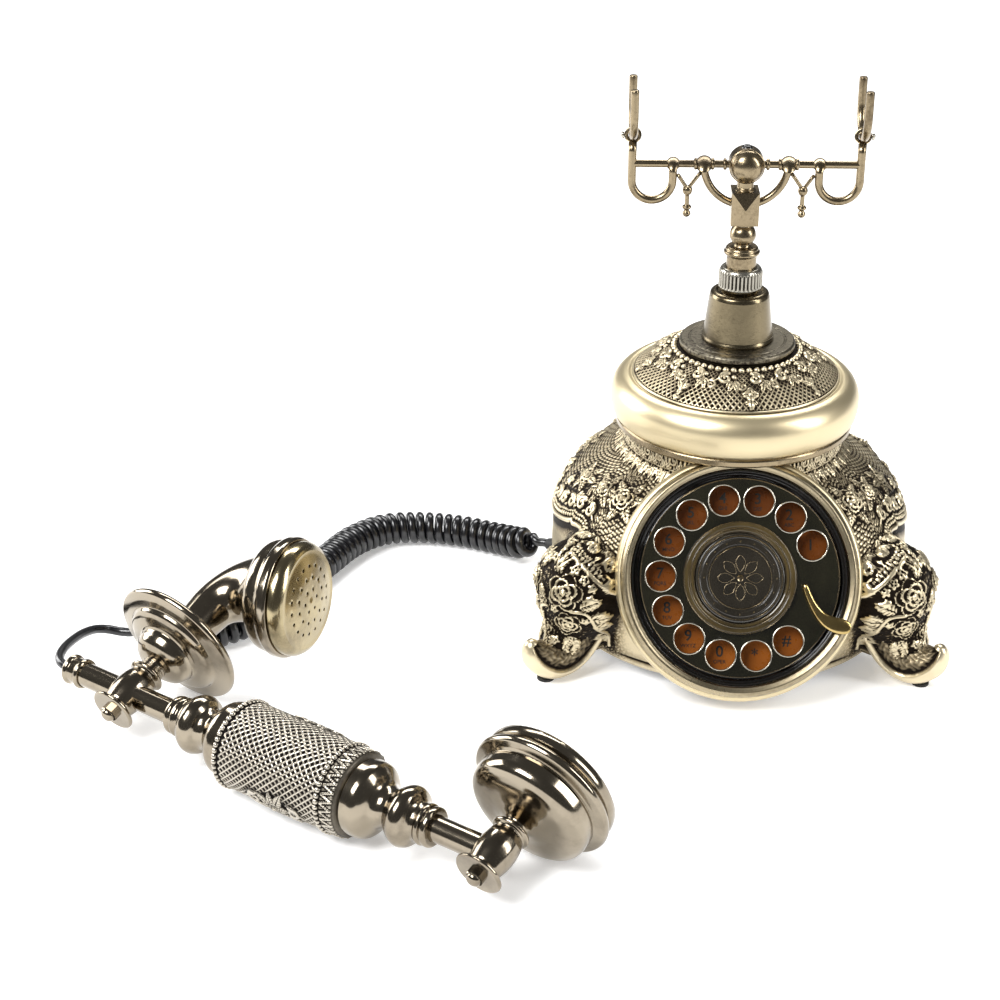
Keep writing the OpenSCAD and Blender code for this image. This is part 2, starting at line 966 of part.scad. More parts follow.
// Two little turned drops, each hung from two thin rods
module pendants() {
    color(brass)
        on_base()
            translate([0, 0, bar_z])
                both_sides() {
                    bar([inner_ball_x + 1.1, 0, -3.3], [23.2, 0, -10.6], 0.6, 0.6);
                    bar([outer_ball_x - 2, 0, -4.4], [23.2, 0, -10.6], 0.6, 0.6);
                    translate([23.2, 0, -22.4])
                        turned([
                            [0, 0], [1, 0.5], [1.5, 1.6], [1, 2.7], [0.7, 3.1], [1.6, 3.9], [1.6, 4.5],
                            [0.7, 5.2], [0.7, 9.6], [1.3, 10.3], [1.7, 11.5], [1.3, 12.7], [0, 13.2]
                        ]);
                }
}

// A fork for the handset, with the eye of its screw
module fork(side) {
    arc_r = fork_r + wire_r;
    arc_z = bar_z + eye_z + arc_r;
    translate([side * fork_x, 0, 0]) {
        translate([0, 0, arc_z])
            rotate([90, 0, 90])
                rotate_extrude(angle = 180, start = 180)
                    translate([arc_r, 0])
                        circle(r = wire_r, $fn = 32);
        for (y = [-arc_r, arc_r])
            translate([0, y, arc_z])
                turned([
                    [0, 0], [wire_r, 0], [wire_r, fork_top - arc_z - 0.7],
                    [wire_r - 0.7, fork_top - arc_z], [0, fork_top - arc_z]
                ]);
    }
}

module fork_left() {
    color(brass)
        on_base()
            fork(-1);
}

module fork_right() {
    color(brass)
        on_base()
            fork(1);
}

// Small round-headed screws that clamp the forks in their eyes
module fork_screws() {
    color(steel)
        on_base()
            for (side = [-1, 1])
                translate([side * (fork_x + 3.5), 0, bar_z + eye_z])
                    rotate([0, side * 90, 0])
                        turned([[0, 0], [1.5, 0], [1.5, 0.6], [1, 1.2], [0, 1.4]]);
}

// ---- Handset ----

module handset_rod() {
    color(brass)
        on_handset()
            difference() {
                translate([-tee_x - 29, 0, 0])
                    along_x()
                        cylinder(r = rod_r, h = 2 * tee_x + 29);
                // Bore for the wires
                translate([-tee_x - 31, 0, 0])
                    along_x()
                        cylinder(r = rod_r - 1.4, h = 2 * tee_x + 28);
            }
}

module end_cap() {
    color(brass)
        on_handset()
            translate([-tee_x - 33, 0, 0])
                along_x()
                    turned([
                        [1.8, 0], [4.6, 0], [6, 0.6], [6.4, 1.6], [6, 2.6], [5.6, 3], [5.6, 6.4],
                        [6.2, 7.2], [6.2, 8.4], [5.6, 9], [rod_r, 9], [rod_r, 4], [1.8, 4]
                    ]);
}

module cord_bush() {
    color(black)
        on_handset()
            translate([-tee_x - 35.3, 0, 0])
                along_x()
                    turned([[0, 0], [2.2, 0], [2.6, 2.3], [1.8, 2.3], [1.8, 6], [0, 6]]);
}

// Grip with a raised beaded band at each end
module grip_sleeve() {
    half = grip_len / 2;
    color(bronze)
        on_handset()
            along_x()
                turned([
                    [rod_r, -half], [grip_r - 1, -half], [grip_r + 0.6, -half + 0.8],
                    [grip_r + 0.6, -half + 2], [grip_r - 0.4, -half + 2.8], [grip_r, -10],
                    [grip_r, 8], [grip_r - 0.4, half - 9], [grip_r + 0.6, half - 8.2],
                    [grip_r + 0.6, half - 6.8], [grip_r - 0.2, half - 6], [grip_r - 0.2, half - 1.6],
                    [grip_r - 1, half], [rod_r, half]
                ]);
}

// Turned collar between the grip and the rod
module grip_collar() {
    translate([grip_len / 2, 0, 0])
        along_x()
            turned([
                [rod_r, 0], [14.2, 0], [15, 1], [15, 5.4], [14, 7.4], [11.4, 9.4], [8.6, 11.4],
                [8, 14], [8.2, 16], [8.8, 17.4], [10.8, 18.6], [11.9, 21], [11.9, 22.8],
                [10.8, 25], [8.4, 26.4], [7.4, 27.4], [7.6, 29.4], [8, 30.4], [7.6, 31.4],
                [7, 31.8], [7.7, 32.8], [7.7, 34], [7, 34.8], [rod_r, 34.8]
            ]);
}

module grip_collar_left() {
    color(brass)
        on_handset()
            mirror([1, 0, 0])
                grip_collar();
}

module grip_collar_right() {
    color(brass)
        on_handset()
            grip_collar();
}

// Barrel-shaped tee across the rod, bored from its left side to the given depth
module tee(bore) {
    difference() {
        along_y()
            turned([
                [0, -8.6], [5.6, -8.6], [6.6, -7], [7.6, -2], [7.8, 2], [7.2, 6.4], [6.2, 9],
                [6.6, 9.4], [7.6, 10], [7.8, 10.8], [7.2, 11.6], [5.6, 12.2], [0, 12.2]
            ]);
        translate([-12, 0, 0])
            along_x()
                cylinder(r = rod_r, h = bore);
    }
}

module mouth_tee() {
    color(brass)
        on_handset()
            translate([-tee_x, 0, 0])
                tee(24);
}

// The ear tee closes the end of the rod
module ear_tee() {
    color(brass)
        on_handset()
            translate([tee_x, 0, 0])
                tee(12);
}

module tee_washers() {
    color(brass)
        on_handset()
            for (x = [-tee_x, tee_x])
                translate([x, 0, 0])
                    along_y()
                        turned([
                            [0, -10.4], [9, -10.4], [9.6, -9.9], [9.6, -9.1], [9, -8.6], [0, -8.6]
                        ]);
}

// Domed octagonal nuts on the washers
module cap_nuts() {
    color(brass)
        on_handset()
            for (x = [-tee_x, tee_x])
                translate([x, -10.4, 0])
                    rotate([90, 0, 0])
                        union() {
                            cylinder(r = 3.6, h = 2.2, $fn = 8);
                            translate([0, 0, 2.1])
                                turned([[0, 0], [3, 0], [2.8, 1], [1.9, 1.9], [0, 2.3]]);
                        }
}

// Stepped receiver cup
module ear_cup() {
    color(brass)
        on_handset()
            translate([tee_x, 0, 0])
                along_y()
                    turned([
                        [0, 12.2], [4.6, 12.2], [4.4, 13.4], [5.4, 14.4], [8, 15.6], [12, 16.6],
                        [18, 17.4], [21.5, 18.4], [23.6, 20], [24.4, 22.2], [24.4, 26.6],
                        [24, 27.4], [25.2, 28], [cup_r - 0.8, rim_y - 1.7], [cup_r, rim_y - 0.6],
                        [cup_r, rim_y + 0.6], [cup_r - 0.8, rim_y + 1.7], [25.4, 33], [22, 33],
                        [22, 22], [19, 19.6], [0, 18.4]
                    ]);
}

// Screwed ear cap with its sound holes
module ear_cap() {
    color(brass)
        on_handset()
            translate([tee_x, 33, 0])
                along_y()
                    difference() {
                        turned([
                            [0, 2.6], [20, 2.6], [20, 0], [26.2, 0], [27.3, 0.8], [27.5, 2.6], [27, 4.6],
                            [25.4, 6], [22.8, 6.6], [20, 5.9], [12, 5.3], [0, 5]
                        ]);
                        for (ring_no = [1 : 3], k = [0 : 6 * ring_no - 1])
                            rotate([0, 0, k * 60 / ring_no])
                                translate([4.4 * ring_no, 0, 0])
                                    cylinder(r = 0.8, h = 10);
                    }
}

module ear_capsule() {
    color(black)
        on_handset()
            translate([tee_x, 22.4, 0])
                along_y()
                    tube(19.5, 3, 12);
}

// Stepped dish with a domed boss and a ribbed neck
module mouth_dish() {
    color(brass)
        on_handset()
            translate([-tee_x, 0, 0])
                along_y()
                    turned([
                        [0, 12.2], [5, 12.2], [5.4, 12.8], [5, 13.4], [5.4, 14], [5, 14.6], [5.4, 15.2],
                        [5.2, 15.8], [8.6, 16.6], [11.6, 18.4], [13.2, 21.4], [13.4, 23.6],
                        [14.4, 24.2], [18.4, 25], [20.6, 26.2], [21.4, 27.6], [24.6, 28.2],
                        [dish_r - 0.8, rim_y - 1.7], [dish_r, rim_y - 0.6], [dish_r, rim_y + 0.6],
                        [dish_r - 0.8, rim_y + 1.7], [26, 32.8], [16, 33.2], [11, 34.4],
                        [9.6, 36], [9.6, 37], [10.4, 37.8], [10.4, 39], [9.4, 39.8], [0, 39.8]
                    ]);
}

// Horn that bends from the dish to the bell and widens on the way
horn_steps = 8;
horn_start_y = 50.6;
horn_run = 1.5;
horn_end = [
    -tee_x + horn_r * (1 - cos(horn_turn)) + horn_run * sin(horn_turn),
    horn_start_y + horn_r * sin(horn_turn) + horn_run * cos(horn_turn), 0
];
horn_route = concat(
    [for (k = [0 : horn_steps]) let (a = horn_turn * k / horn_steps)
        [-tee_x + horn_r * (1 - cos(a)), horn_start_y + horn_r * sin(a), 0]],
    [horn_end]
);
horn_radii = [for (k = [0 : horn_steps + 1]) 9.4 + 8 * pow(k / (horn_steps + 1), 1.6)];
module elbow_tube() {
    color(brass)
        on_handset()
            union() {
                translate([-tee_x, 39.8, 0])
                    along_y()
                        cylinder(r1 = 8.4, r2 = 9.4, h = 10.8);
                swept(horn_route, horn_radii, 24);
            }
}

// Stands at the wide end of the horn, +Z out of the bell's mouth
module on_bell() {
    on_handset()
        translate(horn_end)
            rotate([0, 0, 90 - horn_turn])
                along_x()
                    children();
}

module bell_shell() {
    color(brass)
        on_bell()
            turned([
                [0, 0], [17.6, 0], [20.4, 1.4], [21.8, 3.2], [22.4, 5.6], [22.6, 8], [bell_r - 0.6, 9],
                [bell_r, 10.4], [bell_r, 12.8], [bell_r - 0.8, 13.8], [21, 13.8], [21, 3.4], [0, 3]
            ]);
}

// Perforated mouthpiece, screwed to the bell
module bell_cap() {
    color(brass)
        on_bell()
            translate([0, 0, 13.8])
                difference() {
                    turned([
                        [0, 3.4], [19, 3.2], [19.4, 0], [bell_r - 1, 0], [bell_r - 0.3, 1],
                        [bell_r - 0.4, 3.2], [bell_r - 1.6, 5.2], [20.6, 6.4], [19.4, 6.2],
                        [17, 6.6], [10, 7.6], [0, 8]
                    ]);
                    for (ring_no = [1 : 3], k = [0 : 6 * ring_no - 1])
                        rotate([0, 0, k * 60 / ring_no + 10 * ring_no])
                            translate([4.8 * ring_no, 0, 0])
                                cylinder(r = 0.7, h = 10);
                }
}

// ---- Cord ----

module coil_cord() {
    color(black)
        swept(coil_route, [for (p = coil_route) coil_d / 2], 12);
}

module cord_lead() {
    color(black)
        swept(lead_route, [for (p = lead_route) cord_d / 2], 8);
}

body_shell();
foot_pads();
bottom_cover();
cover_screws();
circuit_board();
loudspeaker();
line_jack();
switch_housing();
ringer_switch();
cord_gland();
dial_bezel();
dial_well();
number_plate();
dial_frame();
dial_screws();
return_spring();
finger_wheel();
hole_rims();
wheel_hub();
dial_gear();
governor();
handsfree_button();
finger_stop();
neck_ring();
cap_shell();
flange_disc();
cone_post();
knurled_nut();
switch_bracket();
hook_switch();
hook_lever();
cradle_spring();
cradle_stem();
cradle_block();
cradle_hub();
hub_plug();
cradle_bar();
pendants();
fork_left();
fork_right();
fork_screws();
handset_rod();
end_cap();
cord_bush();
grip_sleeve();
grip_collar_left();
grip_collar_right();
mouth_tee();
ear_tee();
tee_washers();
cap_nuts();
ear_cup();
ear_cap();
ear_capsule();
mouth_dish();
elbow_tube();
bell_shell();
bell_cap();
coil_cord();
cord_lead();
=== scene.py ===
import json
import math
import bpy
import numpy as np
from mathutils import Matrix, Vector


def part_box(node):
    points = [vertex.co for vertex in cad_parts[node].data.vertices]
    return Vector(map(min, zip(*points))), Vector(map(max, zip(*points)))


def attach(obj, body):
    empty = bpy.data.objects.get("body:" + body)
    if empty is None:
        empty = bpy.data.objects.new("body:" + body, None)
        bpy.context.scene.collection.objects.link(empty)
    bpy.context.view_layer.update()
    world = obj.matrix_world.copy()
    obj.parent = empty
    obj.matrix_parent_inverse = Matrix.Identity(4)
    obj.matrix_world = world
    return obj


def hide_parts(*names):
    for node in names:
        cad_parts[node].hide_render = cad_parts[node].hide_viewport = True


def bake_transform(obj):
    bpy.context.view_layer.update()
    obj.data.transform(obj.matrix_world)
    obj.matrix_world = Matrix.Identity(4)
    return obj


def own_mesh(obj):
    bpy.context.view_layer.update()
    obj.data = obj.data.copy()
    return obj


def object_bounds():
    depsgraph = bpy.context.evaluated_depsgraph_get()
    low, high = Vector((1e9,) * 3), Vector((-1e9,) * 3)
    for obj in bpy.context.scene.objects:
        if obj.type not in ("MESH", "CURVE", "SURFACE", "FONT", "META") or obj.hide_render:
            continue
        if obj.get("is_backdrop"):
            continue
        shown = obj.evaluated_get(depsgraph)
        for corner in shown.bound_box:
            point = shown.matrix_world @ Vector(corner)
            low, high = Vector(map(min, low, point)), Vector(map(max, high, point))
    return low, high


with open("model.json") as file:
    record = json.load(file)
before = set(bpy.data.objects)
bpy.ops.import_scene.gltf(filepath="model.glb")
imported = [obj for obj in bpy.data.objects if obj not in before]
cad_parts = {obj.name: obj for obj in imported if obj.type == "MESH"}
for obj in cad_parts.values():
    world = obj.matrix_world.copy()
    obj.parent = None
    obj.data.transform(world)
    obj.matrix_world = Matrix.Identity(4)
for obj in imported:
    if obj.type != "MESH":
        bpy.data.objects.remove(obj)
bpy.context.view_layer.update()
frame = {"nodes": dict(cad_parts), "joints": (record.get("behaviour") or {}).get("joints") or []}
MM = 0.001
PI = math.pi

# ---------------------------------------------------------------- frames, in mm


def shift(x, y, z):
    m = np.eye(4)
    m[:3, 3] = (x, y, z)
    return m


def turn(axis, degrees):
    return np.array(Matrix.Rotation(math.radians(degrees), 4, axis))


def middle(node):
    lo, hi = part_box(node)
    return np.array((lo + hi) / 2) / MM


joint = {j["name"]: j for j in frame["joints"]}
base_mid = middle("flange_disc")
BASE = shift(base_mid[0], base_mid[1], 0)
dial_axis = joint["dial_turn"]["axis"]
DIAL_TILT = math.degrees(math.asin(-dial_axis[2]))
DIAL = shift(*(np.array(joint["dial_turn"]["pos_m"]) / MM)) @ turn("X", 90 - DIAL_TILT)
# The handset's own frame: +X along its rod to the ear cup, +Y to both cups
HAND = shift(-75.5, -84.8, 17.65) @ turn("Z", -35) @ turn("X", 18.4)
ALONG_Y = turn("X", -90)
ALONG_X = turn("Y", 90)


def put(points, m):
    p = np.asarray(points, float)
    return p @ m[:3, :3].T + m[:3, 3]


# ---------------------------------------------------------------- camera

cam_data = bpy.data.cameras.new("camera")
cam = bpy.data.objects.new("camera", cam_data)
bpy.context.scene.collection.objects.link(cam)
bpy.context.scene.camera = cam
cam_data.sensor_width, cam_data.lens = 36, 77.76
cam_data.clip_start, cam_data.clip_end = 0.05, 20
cam_front = Vector((-0.0234, 0.8946, -0.4462)).normalized()
cam_right = Vector((0.9997, 0.0262, 0)).normalized()
cam_axes = Matrix((cam_right, cam_right.cross(cam_front), -cam_front)).transposed()
cam.matrix_world = Matrix.Translation(Vector((17.2, -763.6, 470)) * MM) @ cam_axes.to_4x4()

# ---------------------------------------------------------------- mesh helpers


def piece(name, points, faces, material, body, *nodes, slot=None, wear=None):
    """A mesh from points in mm in the row frame, riding on a body and standing for CAD nodes."""
    mesh = bpy.data.meshes.new(name)
    mesh.from_pydata((np.asarray(points) * MM).tolist(), [], faces)
    mesh.polygons.foreach_set("use_smooth", [True] * len(mesh.polygons))
    mesh.update()
    obj = bpy.data.objects.new(name, mesh)
    bpy.context.scene.collection.objects.link(obj)
    if wear is not None:
        a = mesh.attributes.new("wear", "FLOAT", "POINT")
        a.data.foreach_set("value", np.asarray(wear, np.float32).ravel())
    mesh.materials.append(material)
    if body:
        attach(obj, body)
    if nodes:
        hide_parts(*nodes)
    slot = slot or SLOT_OF.get(material.name)
    return obj


def grid_faces(rows, cols, wrap):
    i = np.arange(rows - 1)[:, None]
    j = np.arange(cols if wrap else cols - 1)[None, :]
    k = (j + 1) % cols
    return np.stack(
        [i * cols + j, i * cols + k, (i + 1) * cols + k, (i + 1) * cols + j], -1
    ).reshape(-1, 4)


def rounded(outline, r=0.3, n=3):
    """The outline with each corner eased. A point's third number is its own easing."""
    out = [np.array(outline[0][:2], float)]
    for a, b, c in zip(outline, outline[1:], outline[2:]):
        p, q, s = (np.array(v[:2], float) for v in (a, b, c))
        own = b[2] if len(b) > 2 else r
        u, v = p - q, s - q
        lu, lv = np.linalg.norm(u), np.linalg.norm(v)
        e = min(own, 0.48 * lu, 0.48 * lv)
        m = n if own < 1 else 2 * n
        for k in range(m + 1):
            t = k / m
            out.append(
                (1 - t) ** 2 * (q + u / lu * e) + 2 * t * (1 - t) * q + t * t * (q + v / lv * e)
            )
    out.append(np.array(outline[-1][:2], float))
    return np.array(out)


class Build:
    """Gathers several shapes into one piece."""

    def __init__(self):
        self.points, self.faces, self.count = [], [], 0

    def add(self, points, faces):
        points = np.asarray(points, float).reshape(-1, 3)
        self.points.append(points)
        self.faces += [[v + self.count for v in f] for f in faces]
        self.count += len(points)
        return self

    def lathe(self, m, outline, segs=96, r=0.3, n=3):
        """A turned shape about m's +Z, from [radius, height] points going up its outside."""
        o = rounded(outline, r, n)
        closed = np.linalg.norm(o[0] - o[-1]) < 1e-6
        if closed:
            o = o[:-1]
        a = np.arange(segs) * 2 * PI / segs
        ring = np.stack([np.cos(a), np.sin(a)], -1)
        start = 1 if o[0][0] < 1e-4 else 0
        end = len(o) - 1 if o[-1][0] < 1e-4 else len(o)
        body = o[start:end]
        pts = np.concatenate(
            [np.concatenate([ring * p[0], np.full((segs, 1), p[1])], 1) for p in body]
        )
        faces = grid_faces(len(body), segs, True).tolist()
        if closed:
            last = (len(body) - 1) * segs
            faces += [
                [last + j, last + (j + 1) % segs, (j + 1) % segs, j] for j in range(segs)
            ]
        extra = []
        if start:
            extra.append([0, 0, o[0][1]])
            tip = len(pts)
            faces += [[tip, (j + 1) % segs, j] for j in range(segs)]
        if end == len(o) - 1:
            tip = len(pts) + len(extra)
            extra.append([0, 0, o[-1][1]])
            last = (len(body) - 1) * segs
            faces += [[tip, last + j, last + (j + 1) % segs] for j in range(segs)]
        if extra:
            pts = np.concatenate([pts, extra])
        return self.add(put(pts, m), faces)

    def sweep(self, path, radii, sides=16, squash=1.0, up=(0, 0, 1)):
        """A tube along a path in the row frame, with its frame carried along it."""
        path = np.asarray(path, float)
        radii = np.broadcast_to(radii, len(path))
        squash = np.broadcast_to(squash, len(path))
        t = tangents(path)
        s = np.cross(up, t[0])
        if np.linalg.norm(s) < 1e-3:
            s = np.cross((0, 1, 0.1), t[0])
        s /= np.linalg.norm(s)
        a = np.arange(sides) * 2 * PI / sides
        pts = []
        for p, d, r, q in zip(path, t, radii, squash):
            s = s - (s @ d) * d
            s /= np.linalg.norm(s)
            u = np.cross(d, s)
            pts.append(p + r * (np.cos(a)[:, None] * s + q * np.sin(a)[:, None] * u))
        faces = grid_faces(len(path), sides, True).tolist()
        faces.append(list(range(sides))[::-1])
        faces.append([(len(path) - 1) * sides + k for k in range(sides)])
        return self.add(np.concatenate(pts), faces)

    def ball(self, m, radius, segs=24, squash=1.0):
        k = np.linspace(-PI / 2, PI / 2, segs // 2 + 1)
        o = [[radius * math.cos(v), radius * squash * math.sin(v)] for v in k]
        o[0][0] = o[-1][0] = 0
        return self.lathe(m, o, segs, r=0)

    def torus(self, m, ring, wire, segs=96, sides=12):
        k = np.arange(sides + 1) * 2 * PI / sides - PI / 2
        return self.lathe(
            m, [[ring + wire * math.cos(v), wire * math.sin(v)] for v in k], segs, r=0
        )

    def make(self, name, material, body, *nodes, slot=None, weighted=True, wear=None):
        points = np.concatenate(self.points)
        even = None if wear is None else np.zeros(len(points)) + wear
        obj = piece(name, points, self.faces, material, body, *nodes, slot=slot, wear=even)
        if weighted:
            obj.modifiers.new("weighted", "WEIGHTED_NORMAL").keep_sharp = True
        return obj


def bevel(obj, width, degrees):
    ease = obj.modifiers.new("ease", "BEVEL")
    ease.width, ease.segments, ease.limit_method = width, 2, "ANGLE"
    ease.angle_limit = math.radians(degrees)


def catmull(points, step):
    """Rows about a step apart on a smooth curve through the given ones, x, y, z and any more."""
    p = np.asarray(points, float)
    ext = np.concatenate([[2 * p[0] - p[1]], p, [2 * p[-1] - p[-2]]])
    out = []
    for a, b, c, d in zip(ext, ext[1:], ext[2:], ext[3:]):
        n = max(2, int(math.ceil(np.linalg.norm((c - b)[:3]) / step)))
        for k in range(n):
            t = k / n
            out.append(0.5 * (2 * b + (c - a) * t + (2 * a - 5 * b + 4 * c - d) * t * t
                              + (3 * b - 3 * c + d - a) * t ** 3))
    out.append(p[-1])
    return np.array(out)


def travel(line):
    """The distance of each row of a line from its start."""
    return np.concatenate([[0], np.cumsum(np.linalg.norm(np.diff(line, axis=0), axis=1))])


def tangents(line):
    t = np.gradient(line, axis=0)
    return t / np.linalg.norm(t, axis=1)[:, None]


def smooth(a, b, x):
    t = np.clip((x - a) / (b - a), 0, 1)
    return t * t * (3 - 2 * t)


# ---------------------------------------------------------------- materials


class Nodes:
    """A procedural material in the making."""

    def __init__(self, name):
        self.m = bpy.data.materials.new(name)
        self.m.use_nodes = True
        self.t = self.m.node_tree
        self.b = self.t.nodes["Principled BSDF"]

    def new(self, kind, **values):
        n = self.t.nodes.new(kind)
        for k, v in values.items():
            if k in n.inputs:
                n.inputs[k].default_value = v
            else:
                setattr(n, k, v)
        return n

    def link(self, a, b):
        self.t.links.new(a, b)

    def noise(self, scale, detail=4, rough=0.55, stretch=(1, 1, 1)):
        co = self.new("ShaderNodeTexCoord")
        mp = self.new("ShaderNodeMapping")
        mp.inputs["Scale"].default_value = stretch
        self.link(co.outputs["Object"], mp.inputs["Vector"])
        n = self.new("ShaderNodeTexNoise", Scale=scale, Detail=detail, Roughness=rough)
        self.link(mp.outputs["Vector"], n.inputs["Vector"])
        return n.outputs["Fac"]

    def ramp(self, fac, stops):
        r = self.new("ShaderNodeValToRGB")
        e = r.color_ramp.elements
        while len(e) < len(stops):
            e.new(0.5)
        for k, (at, colour) in enumerate(stops):
            e[k].position = at
            c = (colour,) * 3 if isinstance(colour, float) else colour
            e[k].color = (*c, 1)
        self.link(fac, r.inputs["Fac"])
        return r.outputs["Color"]

    def math(self, op, a, b):
        n = self.new("ShaderNodeMath", operation=op)
        for s, v in ((n.inputs[0], a), (n.inputs[1], b)):
            if isinstance(v, (int, float)):
                s.default_value = v
            else:
                self.link(v, s)
        return n.outputs[0]

    def bump(self, height, strength, distance=0.0002):
        n = self.new("ShaderNodeBump", Strength=strength, Distance=distance)
        self.link(height, n.inputs["Height"])
        self.link(n.outputs["Normal"], self.b.inputs["Normal"])

    def colour(self, out):
        self.link(out, self.b.inputs["Base Color"])

    def rough(self, out):
        self.link(out, self.b.inputs["Roughness"])

    def fixed(self, **values):
        for k, v in values.items():
            self.b.inputs[k.replace("_", " ")].default_value = v
        return self


def resin(name, bright, mid, dark, rough=(0.62, 0.36), grain=900, grain_bump=0.25):
    """Antique metal paint on cast resin: dark in the hollows, rubbed bright on top."""
    n = Nodes(name).fixed(Metallic=0.92)
    wear = n.new("ShaderNodeAttribute", attribute_name="wear").outputs["Fac"]
    patches = n.noise(90, 5, 0.6)
    fine = n.noise(grain, 3, 0.6)
    w = n.math("ADD", wear, n.math("MULTIPLY", n.math("SUBTRACT", patches, 0.5), 0.30))
    w = n.math("ADD", w, n.math("MULTIPLY", n.math("SUBTRACT", fine, 0.5), 0.16))
    n.colour(n.ramp(w, [(0.16, dark), (0.46, mid), (0.72, bright), (1.0, bright)]))
    n.rough(n.ramp(w, [(0.15, rough[0]), (0.65, rough[1]), (1.0, rough[1] * 0.9)]))
    n.bump(fine, grain_bump, 0.0001)
    return n.m


def plated(name, bright, dark, rough, streaks=(1, 1, 1), amount=0.35, bump=0.03):
    """Antique brass plate with cloudy patina and fine polishing marks."""
    n = Nodes(name).fixed(Metallic=1.0)
    cloud = n.noise(38, 5, 0.6)
    marks = n.noise(700, 3, 0.6, streaks)
    f = n.math("ADD", cloud, n.math("MULTIPLY", n.math("SUBTRACT", marks, 0.5), amount))
    n.colour(n.ramp(f, [(0.30, dark), (0.52, bright), (1.0, bright)]))
    n.rough(n.ramp(f, [(0.25, rough * 1.5), (0.6, rough), (1.0, rough * 0.85)]))
    n.bump(marks, bump, 0.0001)
    return n.m


RESIN = resin("antique_resin", (0.66, 0.57, 0.39), (0.23, 0.185, 0.115), (0.012, 0.008, 0.005))
SMOOTH = resin("smooth_resin", (0.64, 0.545, 0.35), (0.34, 0.28, 0.17), (0.04, 0.03, 0.016),
               (0.55, 0.40), 1400, 0.10)
GRIP = resin("grip_resin", (0.47, 0.43, 0.36), (0.16, 0.14, 0.11), (0.010, 0.008, 0.007),
             (0.55, 0.28))
KNURL = resin("knurled_steel", (0.34, 0.32, 0.27), (0.15, 0.135, 0.11), (0.02, 0.018, 0.014),
              (0.4, 0.25), 900, 0.05)
SATIN = plated("satin_brass", (0.27, 0.215, 0.135), (0.12, 0.09, 0.055), 0.23)
RIM = plated("rim_brass", (0.38, 0.32, 0.21), (0.22, 0.18, 0.115), 0.27)
BRUSHED = plated("brushed_brass", (0.19, 0.155, 0.095), (0.085, 0.068, 0.042), 0.22, (1, 1, 14),
                 0.6, 0.08)
POLISH = plated("polished_brass", (0.29, 0.25, 0.19), (0.19, 0.16, 0.12), 0.12, amount=0.15)
BELLFACE = plated("polished_face", (0.36, 0.30, 0.18), (0.19, 0.155, 0.095), 0.17, amount=0.15)
WARM = plated("polished_gold", (0.50, 0.37, 0.15), (0.34, 0.24, 0.09), 0.16, amount=0.15)
NICKEL = plated("nickel", (0.50, 0.47, 0.40), (0.34, 0.31, 0.26), 0.20)
STIPPLE = plated("stippled_brass", (0.17, 0.15, 0.11), (0.045, 0.038, 0.03), 0.36, (1, 1, 1), 1.6, 0.5)
STEEL = plated("plain_steel", (0.62, 0.62, 0.61), (0.45, 0.45, 0.45), 0.3, (1, 1, 6), 0.5)
GEAR = plated("gear_brass", (0.72, 0.58, 0.30), (0.55, 0.42, 0.2), 0.3)


def plastic(name, colour, rough, coat=0.0, grain=500, bump=0.05, shade=0.5):
    """Moulded plastic or lacquer with a fine grain and broad, soft changes of shade."""
    n = Nodes(name).fixed(Coat_Weight=coat, Coat_Roughness=0.05)
    fine = n.noise(grain, 4)
    broad = n.noise(60, 3)
    n.colour(n.ramp(broad, [(0.3, tuple(c * shade for c in colour)), (0.7, colour)]))
    n.rough(n.ramp(fine, [(0.3, rough * 1.25), (0.7, rough)]))
    n.bump(fine, bump, 0.0001)
    return n.m


BLACK = plastic("gloss_black", (0.012, 0.011, 0.010), 0.14, 0.6)
CORD = plastic("cord_black", (0.004, 0.004, 0.006), 0.27, 0.3, 900, 0.04)
MATTE = plastic("moulded_black", (0.02, 0.02, 0.02), 0.5, 0, 1200, 0.2)
WHEEL = plastic("smoked_wheel", (0.013, 0.012, 0.006), 0.10, 0.6, 700, 0.02, 0.4)
SMOKE = plastic("smoked_hub", (0.075, 0.052, 0.018), 0.14, 0.5, 700, 0.02, 0.4)
RUBBER = plastic("rubber", (0.02, 0.02, 0.02), 0.7, 0, 900, 0.3)
BOARD = plastic("board", (0.03, 0.12, 0.05), 0.45, 0.2)
INK = plastic("ink", (0.012, 0.008, 0.005), 0.5)
DISC = plastic("disc_black", (0.022, 0.018, 0.012), 0.22, 0.4)


def amber():
    """Smoky amber with painted shade: darker towards the top of the number plate, lighter orange at the
    bottom.
    """
    n = Nodes("amber_plate_painted_shade").fixed(Specular_IOR_Level=0.3)
    co = n.new("ShaderNodeTexCoord")
    sep = n.new("ShaderNodeSeparateXYZ")
    n.link(co.outputs["Object"], sep.inputs[0])
    lo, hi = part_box("number_plate")
    up = n.math("DIVIDE", n.math("SUBTRACT", sep.outputs["Z"], lo.z), hi.z - lo.z)
    up = n.math("ADD", up, n.math("MULTIPLY", n.math("SUBTRACT", n.noise(160, 4), 0.5), 0.25))
    # Painted shade: the colour runs from lighter orange at the bottom of the plate to dark at the top
    n.colour(n.ramp(up, [
        (0.0, (0.27, 0.080, 0.010)), (0.5, (0.17, 0.047, 0.006)), (1.0, (0.085, 0.023, 0.004))]))
    n.rough(n.ramp(n.noise(500, 3), [(0.3, 0.35), (0.7, 0.25)]))
    return n.m


AMBER_PAINTED_SHADE = amber()

# The slot of the record that each material belongs to
SLOTS = {
    "bronze": (RESIN, SMOOTH, GRIP, BRUSHED), "brass": (SATIN, RIM), "nickel": (KNURL, NICKEL),
    "polished_brass": (POLISH, WARM), "dark_brass": (STIPPLE,), "steel": (STEEL,),
    "black_gloss": (BLACK, CORD, SMOKE, DISC), "black_matte": (MATTE, INK),
    "number_plate": (AMBER_PAINTED_SHADE,),
}
SLOT_OF = {m.name: slot for slot, group in SLOTS.items() for m in group}

# ---------------------------------------------------------------- cord

